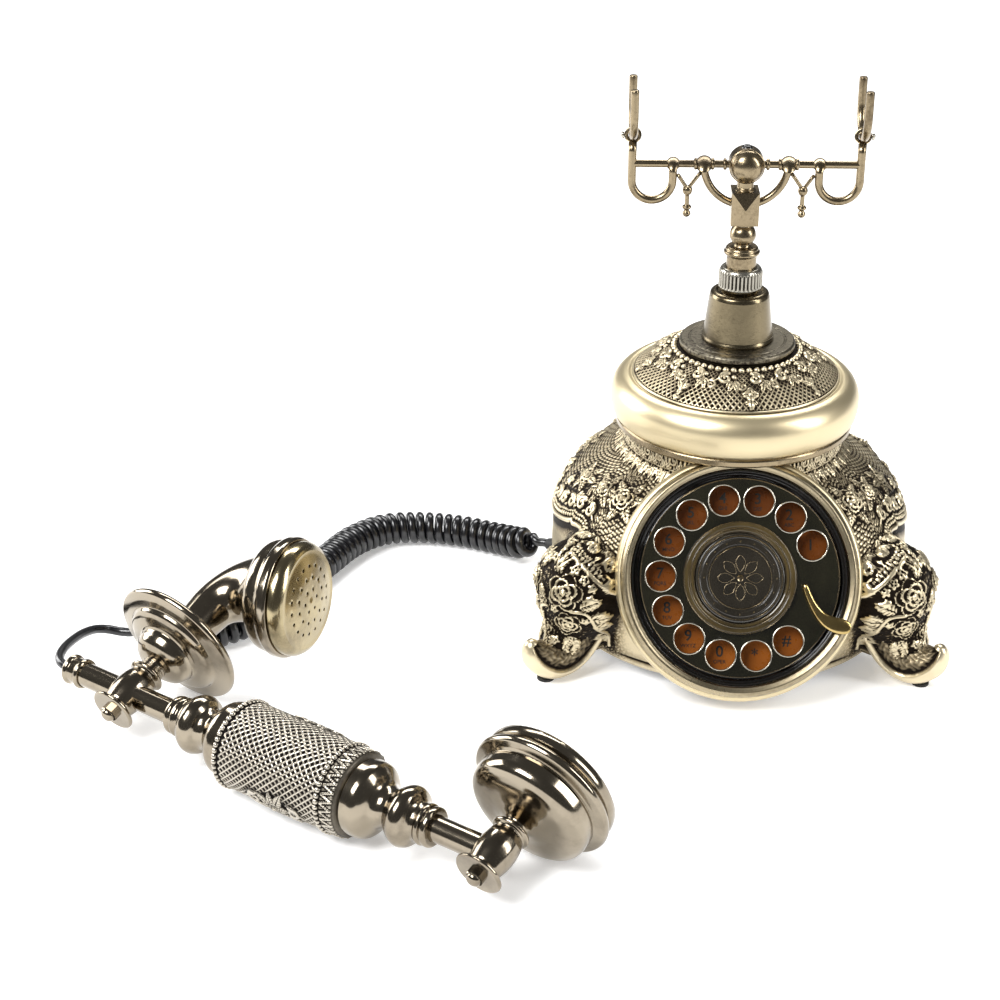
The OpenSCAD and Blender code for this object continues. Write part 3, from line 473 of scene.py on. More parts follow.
COIL_D, CORD_D, COIL_PITCH = 15.0, 4.0, 4.5
GLAND_TURN, GLAND_Z, GLAND_REACH = 155, 13.0, 86.3
gland_at = math.radians(GLAND_TURN)
gland_dir = np.array([math.cos(gland_at), math.sin(gland_at), 0])
gland_tip = np.array([base_mid[0], base_mid[1], GLAND_Z]) + GLAND_REACH * gland_dir
coil_route = [
    gland_tip, gland_tip + 2.5 * gland_dir, (4, 115, 10), (-8, 124, 7.6), (-25, 131, 7.5),
    (-44, 134, 7.5), (-61, 131, 7.5), (-74, 119, 7.5), (-83, 102, 7.5), (-93, 81, 7.5),
    (-104, 59, 7.5), (-117, 41, 7.5), (-133, 32, 7.5), (-150, 31, 7.5), (-163, 33, 7.5),
]
lead_route = [
    (-163, 33, 7.5), (-166.25, 33.5, 7.5), (-171.5, 33, 8.8), (-176, 28.5, 11.2),
    (-179.5, 20, 13.8), (-181.8, 10, 16), (-183, 2, 17.3), (-183.2, -4.5, 17.6),
    (-182, -9, 17.65), (-180.2, -11.4, 17.65), (-178.6, -12.6, 17.65),
]


def coiled(route, lead):
    """Centreline of the cord: a helix about the route, eased in and out, then the lead."""
    mid = catmull(route, 0.5)
    s = travel(mid)
    full = s[-1]
    per_turn = 26
    at = np.linspace(0, full, int(full / COIL_PITCH * per_turn))
    c = np.stack([np.interp(at, s, mid[:, k]) for k in range(3)], -1)
    t = tangents(c)
    side = np.cross((0, 0, 1), t)
    side /= np.linalg.norm(side, axis=1)[:, None]
    up = np.cross(t, side)
    # Each end opens out into a long gentle spiral, so that the cord is nowhere bent sharply
    ease = smooth(0, 13, at - 0.5) * smooth(0, 13, full - at)
    r = (COIL_D - CORD_D) / 2 * ease
    turning = np.maximum(ease, 0.1)
    a = np.cumsum(turning) * (at[1] - at[0]) * 2 * PI / COIL_PITCH
    helix = c + r[:, None] * (np.cos(a)[:, None] * side + np.sin(a)[:, None] * up)
    helix[:, 2] = np.maximum(helix[:, 2], CORD_D / 2)
    return np.concatenate([helix, catmull(lead, 1.2)[1:]])


cord_line = coiled(coil_route, lead_route)
cord_length = float(travel(cord_line)[-1])
cord_build = Build().sweep(cord_line, CORD_D / 2, 10)
cord_piece = cord_build.make("curly_cord", CORD, None, "coil_cord", "cord_lead", weighted=False)
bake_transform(cord_piece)

# ---------------------------------------------------------------- light and floor


def backdrop():
    n = Nodes("paper").fixed(Roughness=0.9)
    n.colour(n.ramp(n.noise(40, 3), [(0.3, (0.86, 0.86, 0.86)), (0.7, (0.90, 0.90, 0.90))]))
    n.fixed(Emission_Color=(1, 1, 1, 1), Emission_Strength=0.34)
    reach, sides = 1500, 96
    turns = [k * 2 * PI / sides for k in range(sides)]
    rim = [(reach * math.cos(a), reach * math.sin(a), 0) for a in turns]
    floor = piece("floor", rim, [tuple(range(sides))], n.m, None)
    floor.location.z = -0.00002
    floor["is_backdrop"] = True
    world = bpy.data.worlds.new("studio")
    bpy.context.scene.world = world
    world.use_nodes = True
    # White behind the floor, but dim in reflections, so that the metal keeps its dark streaks
    nodes, links = world.node_tree.nodes, world.node_tree.links
    dim, paper = nodes["Background"], nodes.new("ShaderNodeBackground")
    for shader, strength in ((dim, 0.12), (paper, 1.0)):
        shader.inputs["Color"].default_value = (1, 1, 1, 1)
        shader.inputs["Strength"].default_value = strength
    seen = nodes.new("ShaderNodeLightPath")
    mix = nodes.new("ShaderNodeMixShader")
    links.new(seen.outputs["Is Camera Ray"], mix.inputs[0])
    links.new(dim.outputs[0], mix.inputs[1])
    links.new(paper.outputs[0], mix.inputs[2])
    links.new(mix.outputs[0], nodes["World Output"].inputs["Surface"])


def softbox(name, place, size, power, target=(0.03, 0, 0.09)):
    data = bpy.data.lights.new(name, "AREA")
    data.shape = "RECTANGLE"
    data.size, data.size_y = size
    data.energy = power
    obj = bpy.data.objects.new(name, data)
    obj.location = place
    obj.rotation_euler = (Vector(target) - Vector(place)).to_track_quat("-Z", "Y").to_euler()
    bpy.context.scene.collection.objects.link(obj)


backdrop()
softbox("key", (-0.85, -0.75, 1.35), (0.8, 0.8), 36)
softbox("right", (1.25, -0.35, 0.75), (0.3, 1.1), 13)
softbox("back", (0.1, 1.15, 1.35), (1.5, 0.4), 22)
softbox("left", (-1.2, 0.6, 0.5), (0.7, 0.8), 15)
bpy.context.scene.view_settings.view_transform = "Standard"

# ---------------------------------------------------------------- turned parts


def turned(name, node, material, body, m, outline, segs, r=0.3, slot=None):
    """A turned piece that stands for one CAD node."""
    Build().lathe(m, outline, segs, r).make(name, material, body, node, slot=slot)


# The dial, whose frame has its origin at the wheel's middle and +Z towards the viewer
DIAL_SPIN, BUTTON, STOP = "dial_wheel", "centre_button", "stop_key"
turned("bezel", "dial_bezel", RIM, "base", DIAL, [
    (44, -14), (48.4, -14), (48.4, -0.5), (48.0, 1.5, 1.2), (46.4, 3.3, 1.2), (45.0, 2.6, 0.5),
    (44.3, 2.4, 0.2), (44, 1.2), (44, -14),
], 160)
turned("dial_tray", "dial_well", BLACK, "base", DIAL, [
    (5.2, -9), (43.8, -9), (43.8, -0.6), (43.0, -0.5), (42.4, -1.2), (41.4, -1.5), (41.4, -5.6),
    (22, -5.6), (21.6, -7.2), (5.2, -7.2), (5.2, -9),
], 128)
turned("digit_plate", "number_plate", AMBER_PAINTED_SHADE, "base", DIAL, [
    (22.2, -5.6), (39.2, -5.6), (39.2, -4.75), (39.0, -4.6), (22.4, -4.6), (22.2, -4.75), (22.2, -5.6),
], 128, r=0.05)


def lettering(text, size, m):
    """Thin raised letters from the built-in typeface, centred on the frame's origin."""
    curve = bpy.data.curves.new("letters", "FONT")
    curve.body, curve.size, curve.extrude = text, size, 0.04
    curve.align_x, curve.align_y = "CENTER", "CENTER"
    curve.offset = 0.013 * size
    obj = bpy.data.objects.new("letters", curve)
    bpy.context.scene.collection.objects.link(obj)
    mesh = obj.evaluated_get(bpy.context.evaluated_depsgraph_get()).to_mesh()
    pts = [tuple(v.co) for v in mesh.vertices]
    faces = [tuple(f.vertices) for f in mesh.polygons]
    bpy.data.objects.remove(obj)
    bpy.data.curves.remove(curve)
    return put(np.array(pts), m), faces


# Twelve finger holes in fourteen places round the wheel
HOLE_CIRCLE, PLACES = 32, 14
hole_angles = [25 + k * 360 / PLACES for k in range(12)]
LABELS = ("1", "2 ABC", "3 DEF", "4 GHI", "5 JKL", "6 MNO", "7 PQRS", "8 TUV", "9 WXYZ", "0 OPER",
          "*", "#")
print_on = Build()
for a, label in zip(hole_angles, LABELS):
    at = math.radians(a)
    m = DIAL @ shift(HOLE_CIRCLE * math.cos(at), HOLE_CIRCLE * math.sin(at), -4.58)
    digit, _, letters = label.partition(" ")
    print_on.add(*lettering(digit, 6.2, m @ shift(0, 0.9 if letters else 0, 0)))
    if letters:
        print_on.add(*lettering(letters, 2.1, m @ shift(0, -3.1, 0)))
print_on.make("digits", INK, "base", weighted=False)

rims = Build()
for a in hole_angles:
    rims.lathe(DIAL @ turn("Z", a) @ shift(HOLE_CIRCLE, 0, 0), [
        (6.0, -1.1), (6.3, -1.1), (6.3, 0.9), (6.6, 0.95), (6.55, 1.15), (6.25, 1.3), (6.0, 1.1),
        (6.0, -1.1),
    ], 48, 0.08, 2)
rims.make("finger_hole_rims", NICKEL, DIAL_SPIN, "hole_rims")
Build().lathe(DIAL, [
    (18.3, 0.9), (22.9, 0.9), (22.9, 2.1), (22.2, 2.8), (21.0, 2.8), (20.8, 2.6), (20.4, 2.6),
    (20.2, 2.8), (19.2, 2.8), (18.3, 2.3), (18.3, 0.9),
], 128, 0.2).lathe(DIAL, [
    (2.6, -21.8), (4.5, -21.8), (4.5, -2.7), (9, -2.7), (9, -0.9), (4.5, -0.9), (4.5, 0.9),
    (2.6, 0.9), (2.6, -21.8),
], 48, 0.1).make("dial_hub", SMOKE, DIAL_SPIN, "wheel_hub")
turned("button", "handsfree_button", DISC, BUTTON, DIAL, [
    (0, -21), (2.3, -21), (2.3, 2.1), (18, 2.1), (18, 3.2), (17.5, 3.6), (16.4, 3.6), (16.2, 3.45),
    (15.8, 3.45), (15.6, 3.6), (13.6, 3.6), (13.4, 3.3), (0, 3.3),
], 128, 0.15)
PETAL = [(2.4, 0), (4.2, 1.3), (6.8, 1.9), (9.2, 0), (6.8, -1.9), (4.2, -1.3), (2.4, 0)]
rosette = Build()
rosette.torus(DIAL @ shift(0, 0, 3.38), 12.6, 0.22, 96, 8)
for k in range(16):
    rosette.ball(DIAL @ turn("Z", k * 22.5) @ shift(14.7, 0, 3.5), 0.42, 12, 0.5)
for k in range(8):
    line = catmull([(x, y, 3.34) for x, y in PETAL], 0.5)
    rosette.sweep(put(line, DIAL @ turn("Z", k * 45)), 0.14, 8)
rosette.ball(DIAL @ shift(0, 0, 3.3), 1.4, 24, 0.45)
rosette.torus(DIAL @ shift(0, 0, 3.58), 16.9, 0.22, 128, 8)
rosette.make("button_rosette", SATIN, BUTTON, weighted=False)
# Radius, height and wire radius of the bright lines on the wheel and its hub
LINES = ((40.1, 0.95, 0.24), (22.5, 2.4, 0.34), (20.0, 2.8, 0.26), (18.6, 2.6, 0.2))
lines = Build()
for ring_r, ring_z, wire_r in LINES:
    lines.torus(DIAL @ shift(0, 0, ring_z), ring_r, wire_r, 160, 8)
lines.make("wheel_lines", SATIN, DIAL_SPIN, slot="nickel", weighted=False)
Build().lathe(DIAL, [
    (46, -9), (49.6, -9), (50.3, -6.5, 1), (50.2, -3.4, 1), (49.4, -1.4, 0.8), (48.5, -0.9, 0.3),
    (46, -0.9), (46, -9),
], 160).make("dial_collar", SMOOTH, "base", wear=0.84)

# Flat gold wire from the wheel's middle, widening to a round tab over the bezel:
# angle, radius, height and half width
HOOK = [
    (-5, 26.0, 3.9, 0.75), (-8, 26.6, 4.0, 1.15), (-13.5, 28.2, 4.2, 1.3), (-19.5, 31.0, 4.6, 1.45),
    (-24, 34.8, 5.0, 1.9), (-25.8, 38.6, 5.2, 2.6), (-25.8, 42.0, 5.3, 3.1), (-25, 45.0, 5.2, 3.1),
    (-24.2, 47.4, 5.1, 2.4), (-23.9, 48.4, 5.1, 1.2),
]
wire = catmull([
    (r * math.cos(math.radians(a)), r * math.sin(math.radians(a)), z, w) for a, r, z, w in HOOK
], 0.5)
thickness = np.interp(np.linspace(0, 1, len(wire)), (0, 0.3, 0.6, 1), (0.8, 0.7, 0.32, 0.3))
hook = Build().sweep(put(wire[:, :3], DIAL), wire[:, 3], 24, thickness, DIAL[:3, 2])
PIN = [(0, -4), (0.8, -4), (0.8, 5), (0, 5)]
hook.lathe(DIAL @ turn("Z", -24) @ shift(42.35, 0, 0), PIN, 24, 0.1)
hook.make("finger_hook", WARM, STOP, "finger_stop")

# The neck, the post and the cradle on it
turned("neck_band", "neck_ring", SATIN, "base", BASE @ shift(0, 0, 93), [
    (41.1, 0), (49, 0), (49.7, 0.8), (49.7, 2.8), (49, 3.6), (41.1, 3.6), (41.1, 0),
], 160, slot="bronze")
turned("flange", "flange_disc", STIPPLE, "base", BASE, [
    (4.4, 127), (23, 127), (24, 127.5), (24, 129.2), (23.2, 130), (20.3, 130), (20.05, 129.75),
    (19.55, 129.75), (19.3, 130), (4.4, 130), (4.4, 127),
], 128, 0.3)
turned("post", "cone_post", BRUSHED, "base", BASE, [
    (6.5, 130), (14.9, 130), (14.9, 131), (14.4, 132), (12.4, 149.1), (11.9, 150.5, 0.5),
    (10.6, 151.3, 0.5), (9.6, 151.3), (9.2, 150.1), (7.5, 150.1), (7.5, 152.6), (6.5, 152.6),
    (6.5, 130),
], 96)


def knurled(m, outline, teeth, low, high, depth):
    """A turned shape with notches from low to high, and the wear of each of its points."""
    b = Build().lathe(m, outline, teeth * 6, 0.25, 3)
    local = put(b.points[0], np.linalg.inv(m))
    r = np.hypot(local[:, 0], local[:, 1])
    a = np.arctan2(local[:, 1], local[:, 0])
    wave = (0.5 + 0.5 * np.cos(a * teeth)) ** 2.2
    on = smooth(low, low + 0.5, local[:, 2]) * (1 - smooth(high - 0.7, high, local[:, 2])) * (r > 8)
    k = 1 - depth / np.maximum(r, 1) * wave * on
    local[:, :2] *= k[:, None]
    b.points[0] = put(local, m)
    return b, 0.78 - 0.75 * wave * on


NUT = [(6.25, 0), (8.6, 0), (9, 0.5), (9, 2.0), (9, 4.0), (9, 5.6), (9, 6.9), (8.3, 8.2, 0.5),
       (7.6, 8.8), (6.25, 8.8), (6.25, 0)]
nut, nut_wear = knurled(BASE @ shift(0, 0, 152.6), NUT, 34, 0.6, 7.4, 0.95)
nut.make("clamp_nut", KNURL, "base", "knurled_nut", wear=nut_wear)

BAR_Z, BLOCK_Z, FORK_TIP_Z = 204.5, 187.2, 237.7
BAR = BASE @ shift(0, 0, BAR_Z)
turned("stem", "cradle_stem", SATIN, "cradle", BASE, [
    (0, 98), (3, 98), (4, 99), (4, 149.6), (6.2, 149.6), (6.2, 166.4), (6.8, 166.7), (7.4, 167.4),
    (7.4, 168.2), (6.7, 168.8), (6.7, 169.4), (6, 170.2), (3.6, 170.2), (3.2, 171), (3.2, 171.4),
    (4.7, 172.3, 0.6), (5.6, 174.6, 1.0), (5, 177.2, 1.0), (3.6, 179), (3.6, 180.2), (0, 180.2),
], 64)


def block():
    """A square block with a low pyramid in a frame on its front and its back."""
    half, tall, tip, inset, rim = 5.6, 7.0, 1.9, 0.75, 0.25
    square = ((-half, -half), (half, -half), (half, half), (-half, half))
    pts = [(x, y, z) for z in (-tall, tall) for x, y in square]
    faces = [(0, 3, 2, 1), (4, 5, 6, 7), (1, 2, 6, 5), (3, 0, 4, 7)]
    for s, idx in ((-1, (0, 1, 5, 4)), (1, (2, 3, 7, 6))):
        first = len(pts)
        for x, _, z in [pts[i] for i in idx]:
            pts.append((x - math.copysign(inset, x), s * (half + rim), z - math.copysign(inset, z)))
        pts.append((0, s * (half + tip), 0))
        for k in range(4):
            n = (k + 1) % 4
            faces.append((idx[k], idx[n], first + n, first + k))
            faces.append((first + k, first + n, first + 4))
    b = Build().add(put(pts, BASE @ shift(0, 0, BLOCK_Z)), faces)
    collar = [(0, 0), (4.4, 0), (3.4, 1), (3.4, 3.6), (0, 3.6)]
    b.lathe(BASE @ shift(0, 0, BLOCK_Z + tall), collar, 48, 0.2)
    obj = b.make("pyramid_block", SATIN, "cradle", "cradle_block", weighted=False)
    bevel(obj, 0.00035, 20)
    obj.modifiers.new("weighted", "WEIGHTED_NORMAL").keep_sharp = True


block()
turned("hub", "cradle_hub", SATIN, "cradle", BAR @ ALONG_Y, [
    (0, -8.6), (2.8, -8.1, 1), (5, -6.8, 1), (6.4, -4.8, 1), (6.8, -3.6, 0.2), (7.2, -3.4, 0.2),
    (7.2, 3.4, 0.2), (6.8, 3.6, 0.2), (6.4, 4.8, 1), (5, 6.8, 1), (2.8, 8.1, 1), (0, 8.6),
], 64)
turned("top_plug", "hub_plug", BLACK, "cradle", BAR @ shift(0, 0, 4), [
    (0, 0), (2.3, 0), (2.3, 3.2), (1.6, 3.9), (0, 4.1),
], 32)


def arc(centre, r, a0, a1, plane, n=28):
    out = []
    for k in range(n + 1):
        a = math.radians(a0 + (a1 - a0) * k / n)
        c, s = r * math.cos(a), r * math.sin(a)
        out.append(np.array(centre) + (np.array([c, 0, s]) if plane == "xz" else np.array([0, c, s])))
    return out


# Distances from the middle of the bar, and the eye's height over it
FORK_X, WIRE, IN_BALL, OUT_BALL, DROP, EYE = 45.7, 1.7, 16.9, 29.3, 23.2, 11.8
BAR_RING = [(0, -0.8), (1.6, -0.8), (2.3, -0.5), (2.4, 0, 0.3), (2.3, 0.5), (1.6, 0.8), (0, 0.8)]
bars, drops, screws = Build(), Build(), Build()
for side in (-1, 1):
    m = BAR @ turn("Z", 0 if side > 0 else 180)
    bars.lathe(m @ shift(6.2, 0, 0) @ ALONG_X, [(0, 0), (1.55, 0), (1.55, 39.5), (0, 39.5)], 32, 0)
    for x in (8.6, IN_BALL - 3.4, IN_BALL + 3.4):
        bars.lathe(m @ shift(x, 0, 0) @ ALONG_X, BAR_RING, 40, 0.2)
    bars.ball(m @ shift(IN_BALL, 0, 0), 3.5, 36)
    bars.ball(m @ shift(OUT_BALL, 0, 0), 2.8, 32)
    hr = (FORK_X - OUT_BALL) / 2
    hook = [np.array((OUT_BALL, 0, 0)), np.array((OUT_BALL, 0, -3.5))]
    hook += arc((OUT_BALL + hr, 0, -7), hr, 180, 360, "xz", 40)
    hook += [np.array((FORK_X, 0, z)) for z in (-3, 1, 5, EYE - 2.4)]
    bars.sweep(put(hook, m), WIRE, 24, up=(0, 1, 0))
    bars.torus(m @ shift(FORK_X, 0, EYE) @ turn("X", 90), 2.65, 0.85, 40, 14)
    arch = arc((0, 0, 0), IN_BALL, -78, 0, "xz", 34)
    bars.sweep(put(arch, m), WIRE - 0.1, 24, up=(0, 1, 0))
    for a in ((IN_BALL + 1.1, 0, -3.3), (OUT_BALL - 2, 0, -4.4)):
        line = [np.array(a) * (1 - k / 4) + np.array((DROP, 0, -10.6)) * k / 4 for k in range(5)]
        drops.sweep(put(line, m), 0.8, 12, up=(0, 1, 0))
    drops.lathe(m @ shift(DROP, 0, -22.4), [
        (0, 0), (1.2, 0.5), (1.8, 1.7), (1.2, 2.8), (0.9, 3.2), (1.9, 4.0), (1.9, 4.7), (0.9, 5.5),
        (0.9, 9.4), (1.7, 10.1), (2.1, 11.5), (1.7, 12.9), (0, 13.4)], 32, 0.4)
    screws.lathe(m @ shift(FORK_X + 3.5, 0, EYE) @ ALONG_X, [
        (0, 0), (1.5, 0), (1.5, 0.6), (1, 1.2), (0.35, 1.4), (0.3, 1.1), (0, 1.1)], 28, 0.15)
bars.make("cradle_rods", SATIN, "cradle", "cradle_bar")
drops.make("cradle_drops", SATIN, "cradle", "pendants")
screws.make("eye_screws", NICKEL, "cradle", "fork_screws")
for side, name, node in ((-1, "left_prongs", "fork_left"), (1, "right_prongs", "fork_right")):
    ar = 9.3 + WIRE
    z = EYE + ar
    top = FORK_TIP_Z - BAR_Z
    u = [(0, -ar, top - 0.05), (0, -ar, top - 0.2), (0, -ar, top - 0.7)]
    u += [(0, -ar, z + (top - 0.7 - z) * (1 - k / 6)) for k in range(1, 6)]
    line = [np.array(p, float) for p in u] + arc((0, 0, z), ar, 180, 360, "yz", 40)
    line += [np.array((0, ar, p[2]), float) for p in u[::-1]]
    rad = np.full(len(line), WIRE)
    rad[0] = rad[-1] = WIRE - 0.8
    rad[1] = rad[-2] = WIRE - 0.25
    Build().sweep(put(line, BAR @ shift(side * FORK_X, 0, 0)), rad, 28, up=(1, 0, 0)).make(
        name, SATIN, "cradle", node)

# Return spring round the stem
low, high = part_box("cradle_spring")
SPRING_WIRE, SPRING_R, SPRING_TURNS, SINK = 0.5, 5.2, 9, 0.004
tall = (high.z - low.z) / MM - 2 * SPRING_WIRE
turned_by = np.linspace(0, 1, SPRING_TURNS * 28 + 1)
rise = np.interp(turned_by, (0, 0.08, 0.92, 1), (0, 0, 1, 1))
spring_line = np.stack([
    SPRING_R * np.cos(2 * PI * SPRING_TURNS * turned_by),
    SPRING_R * np.sin(2 * PI * SPRING_TURNS * turned_by),
    low.z / MM + SPRING_WIRE + tall * rise], -1)
spring = Build().sweep(put(spring_line, BASE), SPRING_WIRE, 12).make(
    "coil_spring", STEEL, "base", "cradle_spring", weighted=False)
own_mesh(spring)

# Handset: the left end has the mouth dish and the bell, the right end the ear cup
# Distance of each tee from the grip's middle, and of the grip's ends
TEE, GRIP_END = 90.5, 30.0
turned("rod", "handset_rod", POLISH, "handset", HAND @ ALONG_X, [
    (3.6, -119.5), (5, -119.5), (5, TEE), (3.6, TEE), (3.6, -119.5),
], 48, 0.1)
turned("rod_end", "end_cap", POLISH, "handset", HAND @ shift(-TEE - 33, 0, 0) @ ALONG_X, [
    (1.8, 0), (4.6, 0), (5.9, 0.6), (6.4, 1.6, 0.6), (5.9, 2.7), (5.4, 3.1), (5.4, 6.3), (6.1, 7.1),
    (6.3, 7.8, 0.3), (6.1, 8.5), (5.6, 9), (5, 9), (5, 4), (1.8, 4), (1.8, 0),
], 64, 0.25)
turned("bush", "cord_bush", MATTE, "handset", HAND @ shift(-TEE - 35.3, 0, 0) @ ALONG_X, [
    (0, 0), (2.2, 0), (2.6, 2.3), (1.8, 2.3), (1.8, 6), (0, 6)], 32, 0.2)
COLLAR = [
    (5, 0), (14.2, 0), (15, 0.8, 0.5), (15, 4.9, 0.8), (14.3, 6.9, 1), (12.2, 8.9, 1.4),
    (9.0, 10.9, 1.4), (8.0, 13.6, 1.4), (8.3, 16.1, 0.5), (8.9, 17.2, 0.3), (10.8, 18.6, 0.9),
    (11.9, 21, 1), (11.9, 22.8, 1), (10.8, 25, 0.9), (8.6, 26.3, 0.3), (7.5, 27.3, 0.6),
    (7.4, 29.2, 0.3), (7.9, 29.8, 0.2), (8.1, 30.5, 0.3), (7.8, 31.3, 0.2), (7.0, 31.7, 0.1),
    (7.7, 32.5, 0.2), (7.8, 33.4, 0.4), (7.6, 34.3, 0.2), (6.8, 34.8), (5, 34.8), (5, 0),
]
for side, m in (("left", HAND @ turn("Z", 180)), ("right", HAND)):
    Build().lathe(m @ shift(GRIP_END, 0, 0) @ ALONG_X, COLLAR, 96).make(
        "collar_" + side, POLISH, "handset", "grip_collar_" + side)
TEE_OUTLINE = [
    (0, -8.6), (5.6, -8.6), (6.6, -7, 0.6), (7.6, -2, 2), (7.8, 2, 2), (7.2, 6.4, 2), (6.2, 9, 0.3),
    (6.5, 9.4, 0.2), (7.6, 10, 0.4), (7.8, 10.8, 0.3), (7.2, 11.7, 0.4), (5.6, 12.2), (0, 12.2),
]
EAR = HAND @ shift(TEE, 0, 0) @ ALONG_Y
MOUTH = HAND @ shift(-TEE, 0, 0) @ ALONG_Y
for side, m, node in (("left", MOUTH, "mouth_tee"), ("right", EAR, "ear_tee")):
    Build().lathe(m, TEE_OUTLINE, 64).make("tee_" + side, POLISH, "handset", node)
washers, nuts = Build(), Build()
for x in (-TEE, TEE):
    washers.lathe(HAND @ shift(x, 0, 0) @ ALONG_Y, [
        (0, -10.4), (9, -10.4), (9.6, -9.9), (9.6, -9.1), (9, -8.6), (0, -8.6)], 64, 0.25)
    flat = HAND @ shift(x, -10.4, 0) @ turn("X", 90)
    nuts.lathe(flat, [(0, 0), (3.6, 0), (3.6, 1.8), (3.3, 2.2), (0, 2.2)], 8, 0)
    dome = [(0, 0), (3, 0), (2.8, 1, 0.6), (1.9, 1.9, 0.6), (0, 2.3)]
    nuts.lathe(flat @ shift(0, 0, 2.1), dome, 40, 0.3)
washers.make("washers", POLISH, "handset", "tee_washers")
obj = nuts.make("domed_nuts", POLISH, "handset", "cap_nuts", weighted=False)
for p in obj.data.polygons:
    p.use_smooth = len(p.vertices) != 4 or p.area < 3e-6
turned("receiver_cup", "ear_cup", POLISH, "handset", EAR, [
    (0, 12.2), (4.6, 12.2), (4.4, 13.4, 0.5), (5.4, 14.4, 0.6), (8, 15.6, 1), (12, 16.6, 1.5),
    (18, 17.4, 2), (21.5, 18.4, 1.5), (23.6, 20, 1.2), (24.4, 22.2, 1.2), (24.4, 26.6, 0.4),
    (24, 27.4, 0.2), (25.2, 28, 0.3), (27.9, 28.9, 0.4), (28.5, 29.9, 0.5), (28.5, 31.1, 0.5),
    (27.7, 32.2, 0.4), (25.4, 33, 0.3), (22, 33), (22, 22), (19, 19.6), (0, 18.4),
], 128)
turned("mouth_plate", "mouth_dish", POLISH, "handset", MOUTH, [
    (0, 12.2), (4.8, 12.2), (5.5, 12.8, 0.3), (4.9, 13.4, 0.2), (5.5, 14, 0.3), (4.9, 14.6, 0.2),
    (5.5, 15.2, 0.3), (5.2, 15.8, 0.2), (8.6, 16.6, 0.8), (11.6, 18.4, 1.4), (13.2, 21.4, 1.2),
    (13.4, 23.5, 0.3), (14.4, 24.1, 0.3), (16.4, 24.5, 0.6), (18.4, 25, 0.3), (19.8, 25.5, 0.5),
    (20.6, 26.2, 0.3), (21.4, 27.6, 0.4), (24.6, 28.2, 0.4), (27.9, 29.0, 0.4), (28.5, 29.9, 0.5),
    (28.5, 31.1, 0.5), (27.7, 32.2, 0.4), (26, 32.8, 0.3), (16, 33.2, 1), (11, 34.4, 1),
    (9.6, 36, 0.6), (9.6, 37, 0.2), (10.4, 37.8, 0.3), (10.4, 39, 0.3), (9.4, 39.8, 0.2),
    (0, 39.8),
], 128)

# The horn rises straight, bends by HORN_TURN and widens into the bell
HORN_TURN, HORN_R, HORN_Y, HORN_RUN = 77, 18, 50.6, 1.5
STRAIGHT, BENT = 8, 49
horn = [(-TEE, 39.8 + k * 1.35, 0) for k in range(STRAIGHT)]
horn += [(-TEE + HORN_R * (1 - math.cos(a)), HORN_Y + HORN_R * math.sin(a), 0)
         for a in np.linspace(0, math.radians(HORN_TURN), BENT)]
bend = math.radians(HORN_TURN)
horn_end = (horn[-1][0] + HORN_RUN * math.sin(bend), horn[-1][1] + HORN_RUN * math.cos(bend), 0)
horn.append(horn_end)
share = np.concatenate([np.zeros(STRAIGHT), np.linspace(0, 8 / 9, BENT), [1]])
horn_rad = 9.4 + 8 * share ** 1.6
horn_rad[:STRAIGHT] = np.linspace(8.4, 9.4, STRAIGHT + 1)[:STRAIGHT]
Build().sweep(put(horn, HAND), horn_rad, 64, up=HAND[:3, 2]).make(
    "horn", POLISH, "handset", "elbow_tube")
BELL = HAND @ shift(*horn_end) @ turn("Z", 90 - HORN_TURN) @ ALONG_X
turned("bell", "bell_shell", POLISH, "handset", BELL, [
    (0, 0), (17.6, 0), (20.9, 1.2, 1.2), (22.8, 3.2, 1.2), (23.5, 5.6, 1), (23.6, 8, 0.2),
    (24.3, 8.9, 0.4), (25.0, 10.2, 0.6), (25.0, 13.0, 0.5), (24.2, 14.0, 0.3), (21, 14.0), (21, 3.4),
    (0, 3),
], 128)

# The sleeve where the cord leaves the body
turned("cord_sleeve", "cord_gland", MATTE, "base", shift(*gland_tip) @ turn("Z", GLAND_TURN) @ ALONG_X, [
    (0, -20.3), (4.2, -20.3), (4.2, -18.7), (3.5, -18.5), (3.5, -11.5), (4.9, -10.7), (4.9, -9.5),
    (3.7, -8.9, 0.1), (3.4, -7.6, 0.1), (3.7, -7.2, 0.1), (3.4, -5.9, 0.1), (3.5, -5.5, 0.1),
    (3.1, -4.2, 0.1), (3.2, -3.8, 0.1), (2.8, -2.4, 0.1), (2.9, -2, 0.1), (2.6, -0.4), (2.3, 0), (0, 0),
], 40, 0.2)

# ---------------------------------------------------------------- CAD nodes that stay

# The material of each
STAYS = {
    "foot_pads": RUBBER, "bottom_cover": MATTE, "cover_screws": STEEL, "circuit_board": BOARD,
    "loudspeaker": MATTE, "line_jack": MATTE, "switch_housing": MATTE, "ringer_switch": NICKEL,
    "dial_frame": STEEL, "dial_screws": STEEL, "return_spring": STEEL, "finger_wheel": WHEEL,
    "dial_gear": GEAR, "governor": GEAR, "switch_bracket": STEEL, "hook_switch": MATTE,
    "hook_lever": STEEL, "ear_capsule": MATTE, "ear_cap": POLISH, "bell_cap": BELLFACE,
}
for node, material in STAYS.items():
    obj = frame["nodes"][node]
    if not obj.material_slots:
        obj.data.materials.append(material)
    for own in obj.material_slots:
        own.material = material
    obj.modifiers.new("weld", "WELD").merge_threshold = 0.00001
    bevel(obj, 0.00022, 35)

# ---------------------------------------------------------------- relief on the base


def smin(a, b, k):
    h = np.clip(0.5 + 0.5 * (b - a) / k, 0, 1)
    return b * (1 - h) + a * h - k * h * (1 - h)


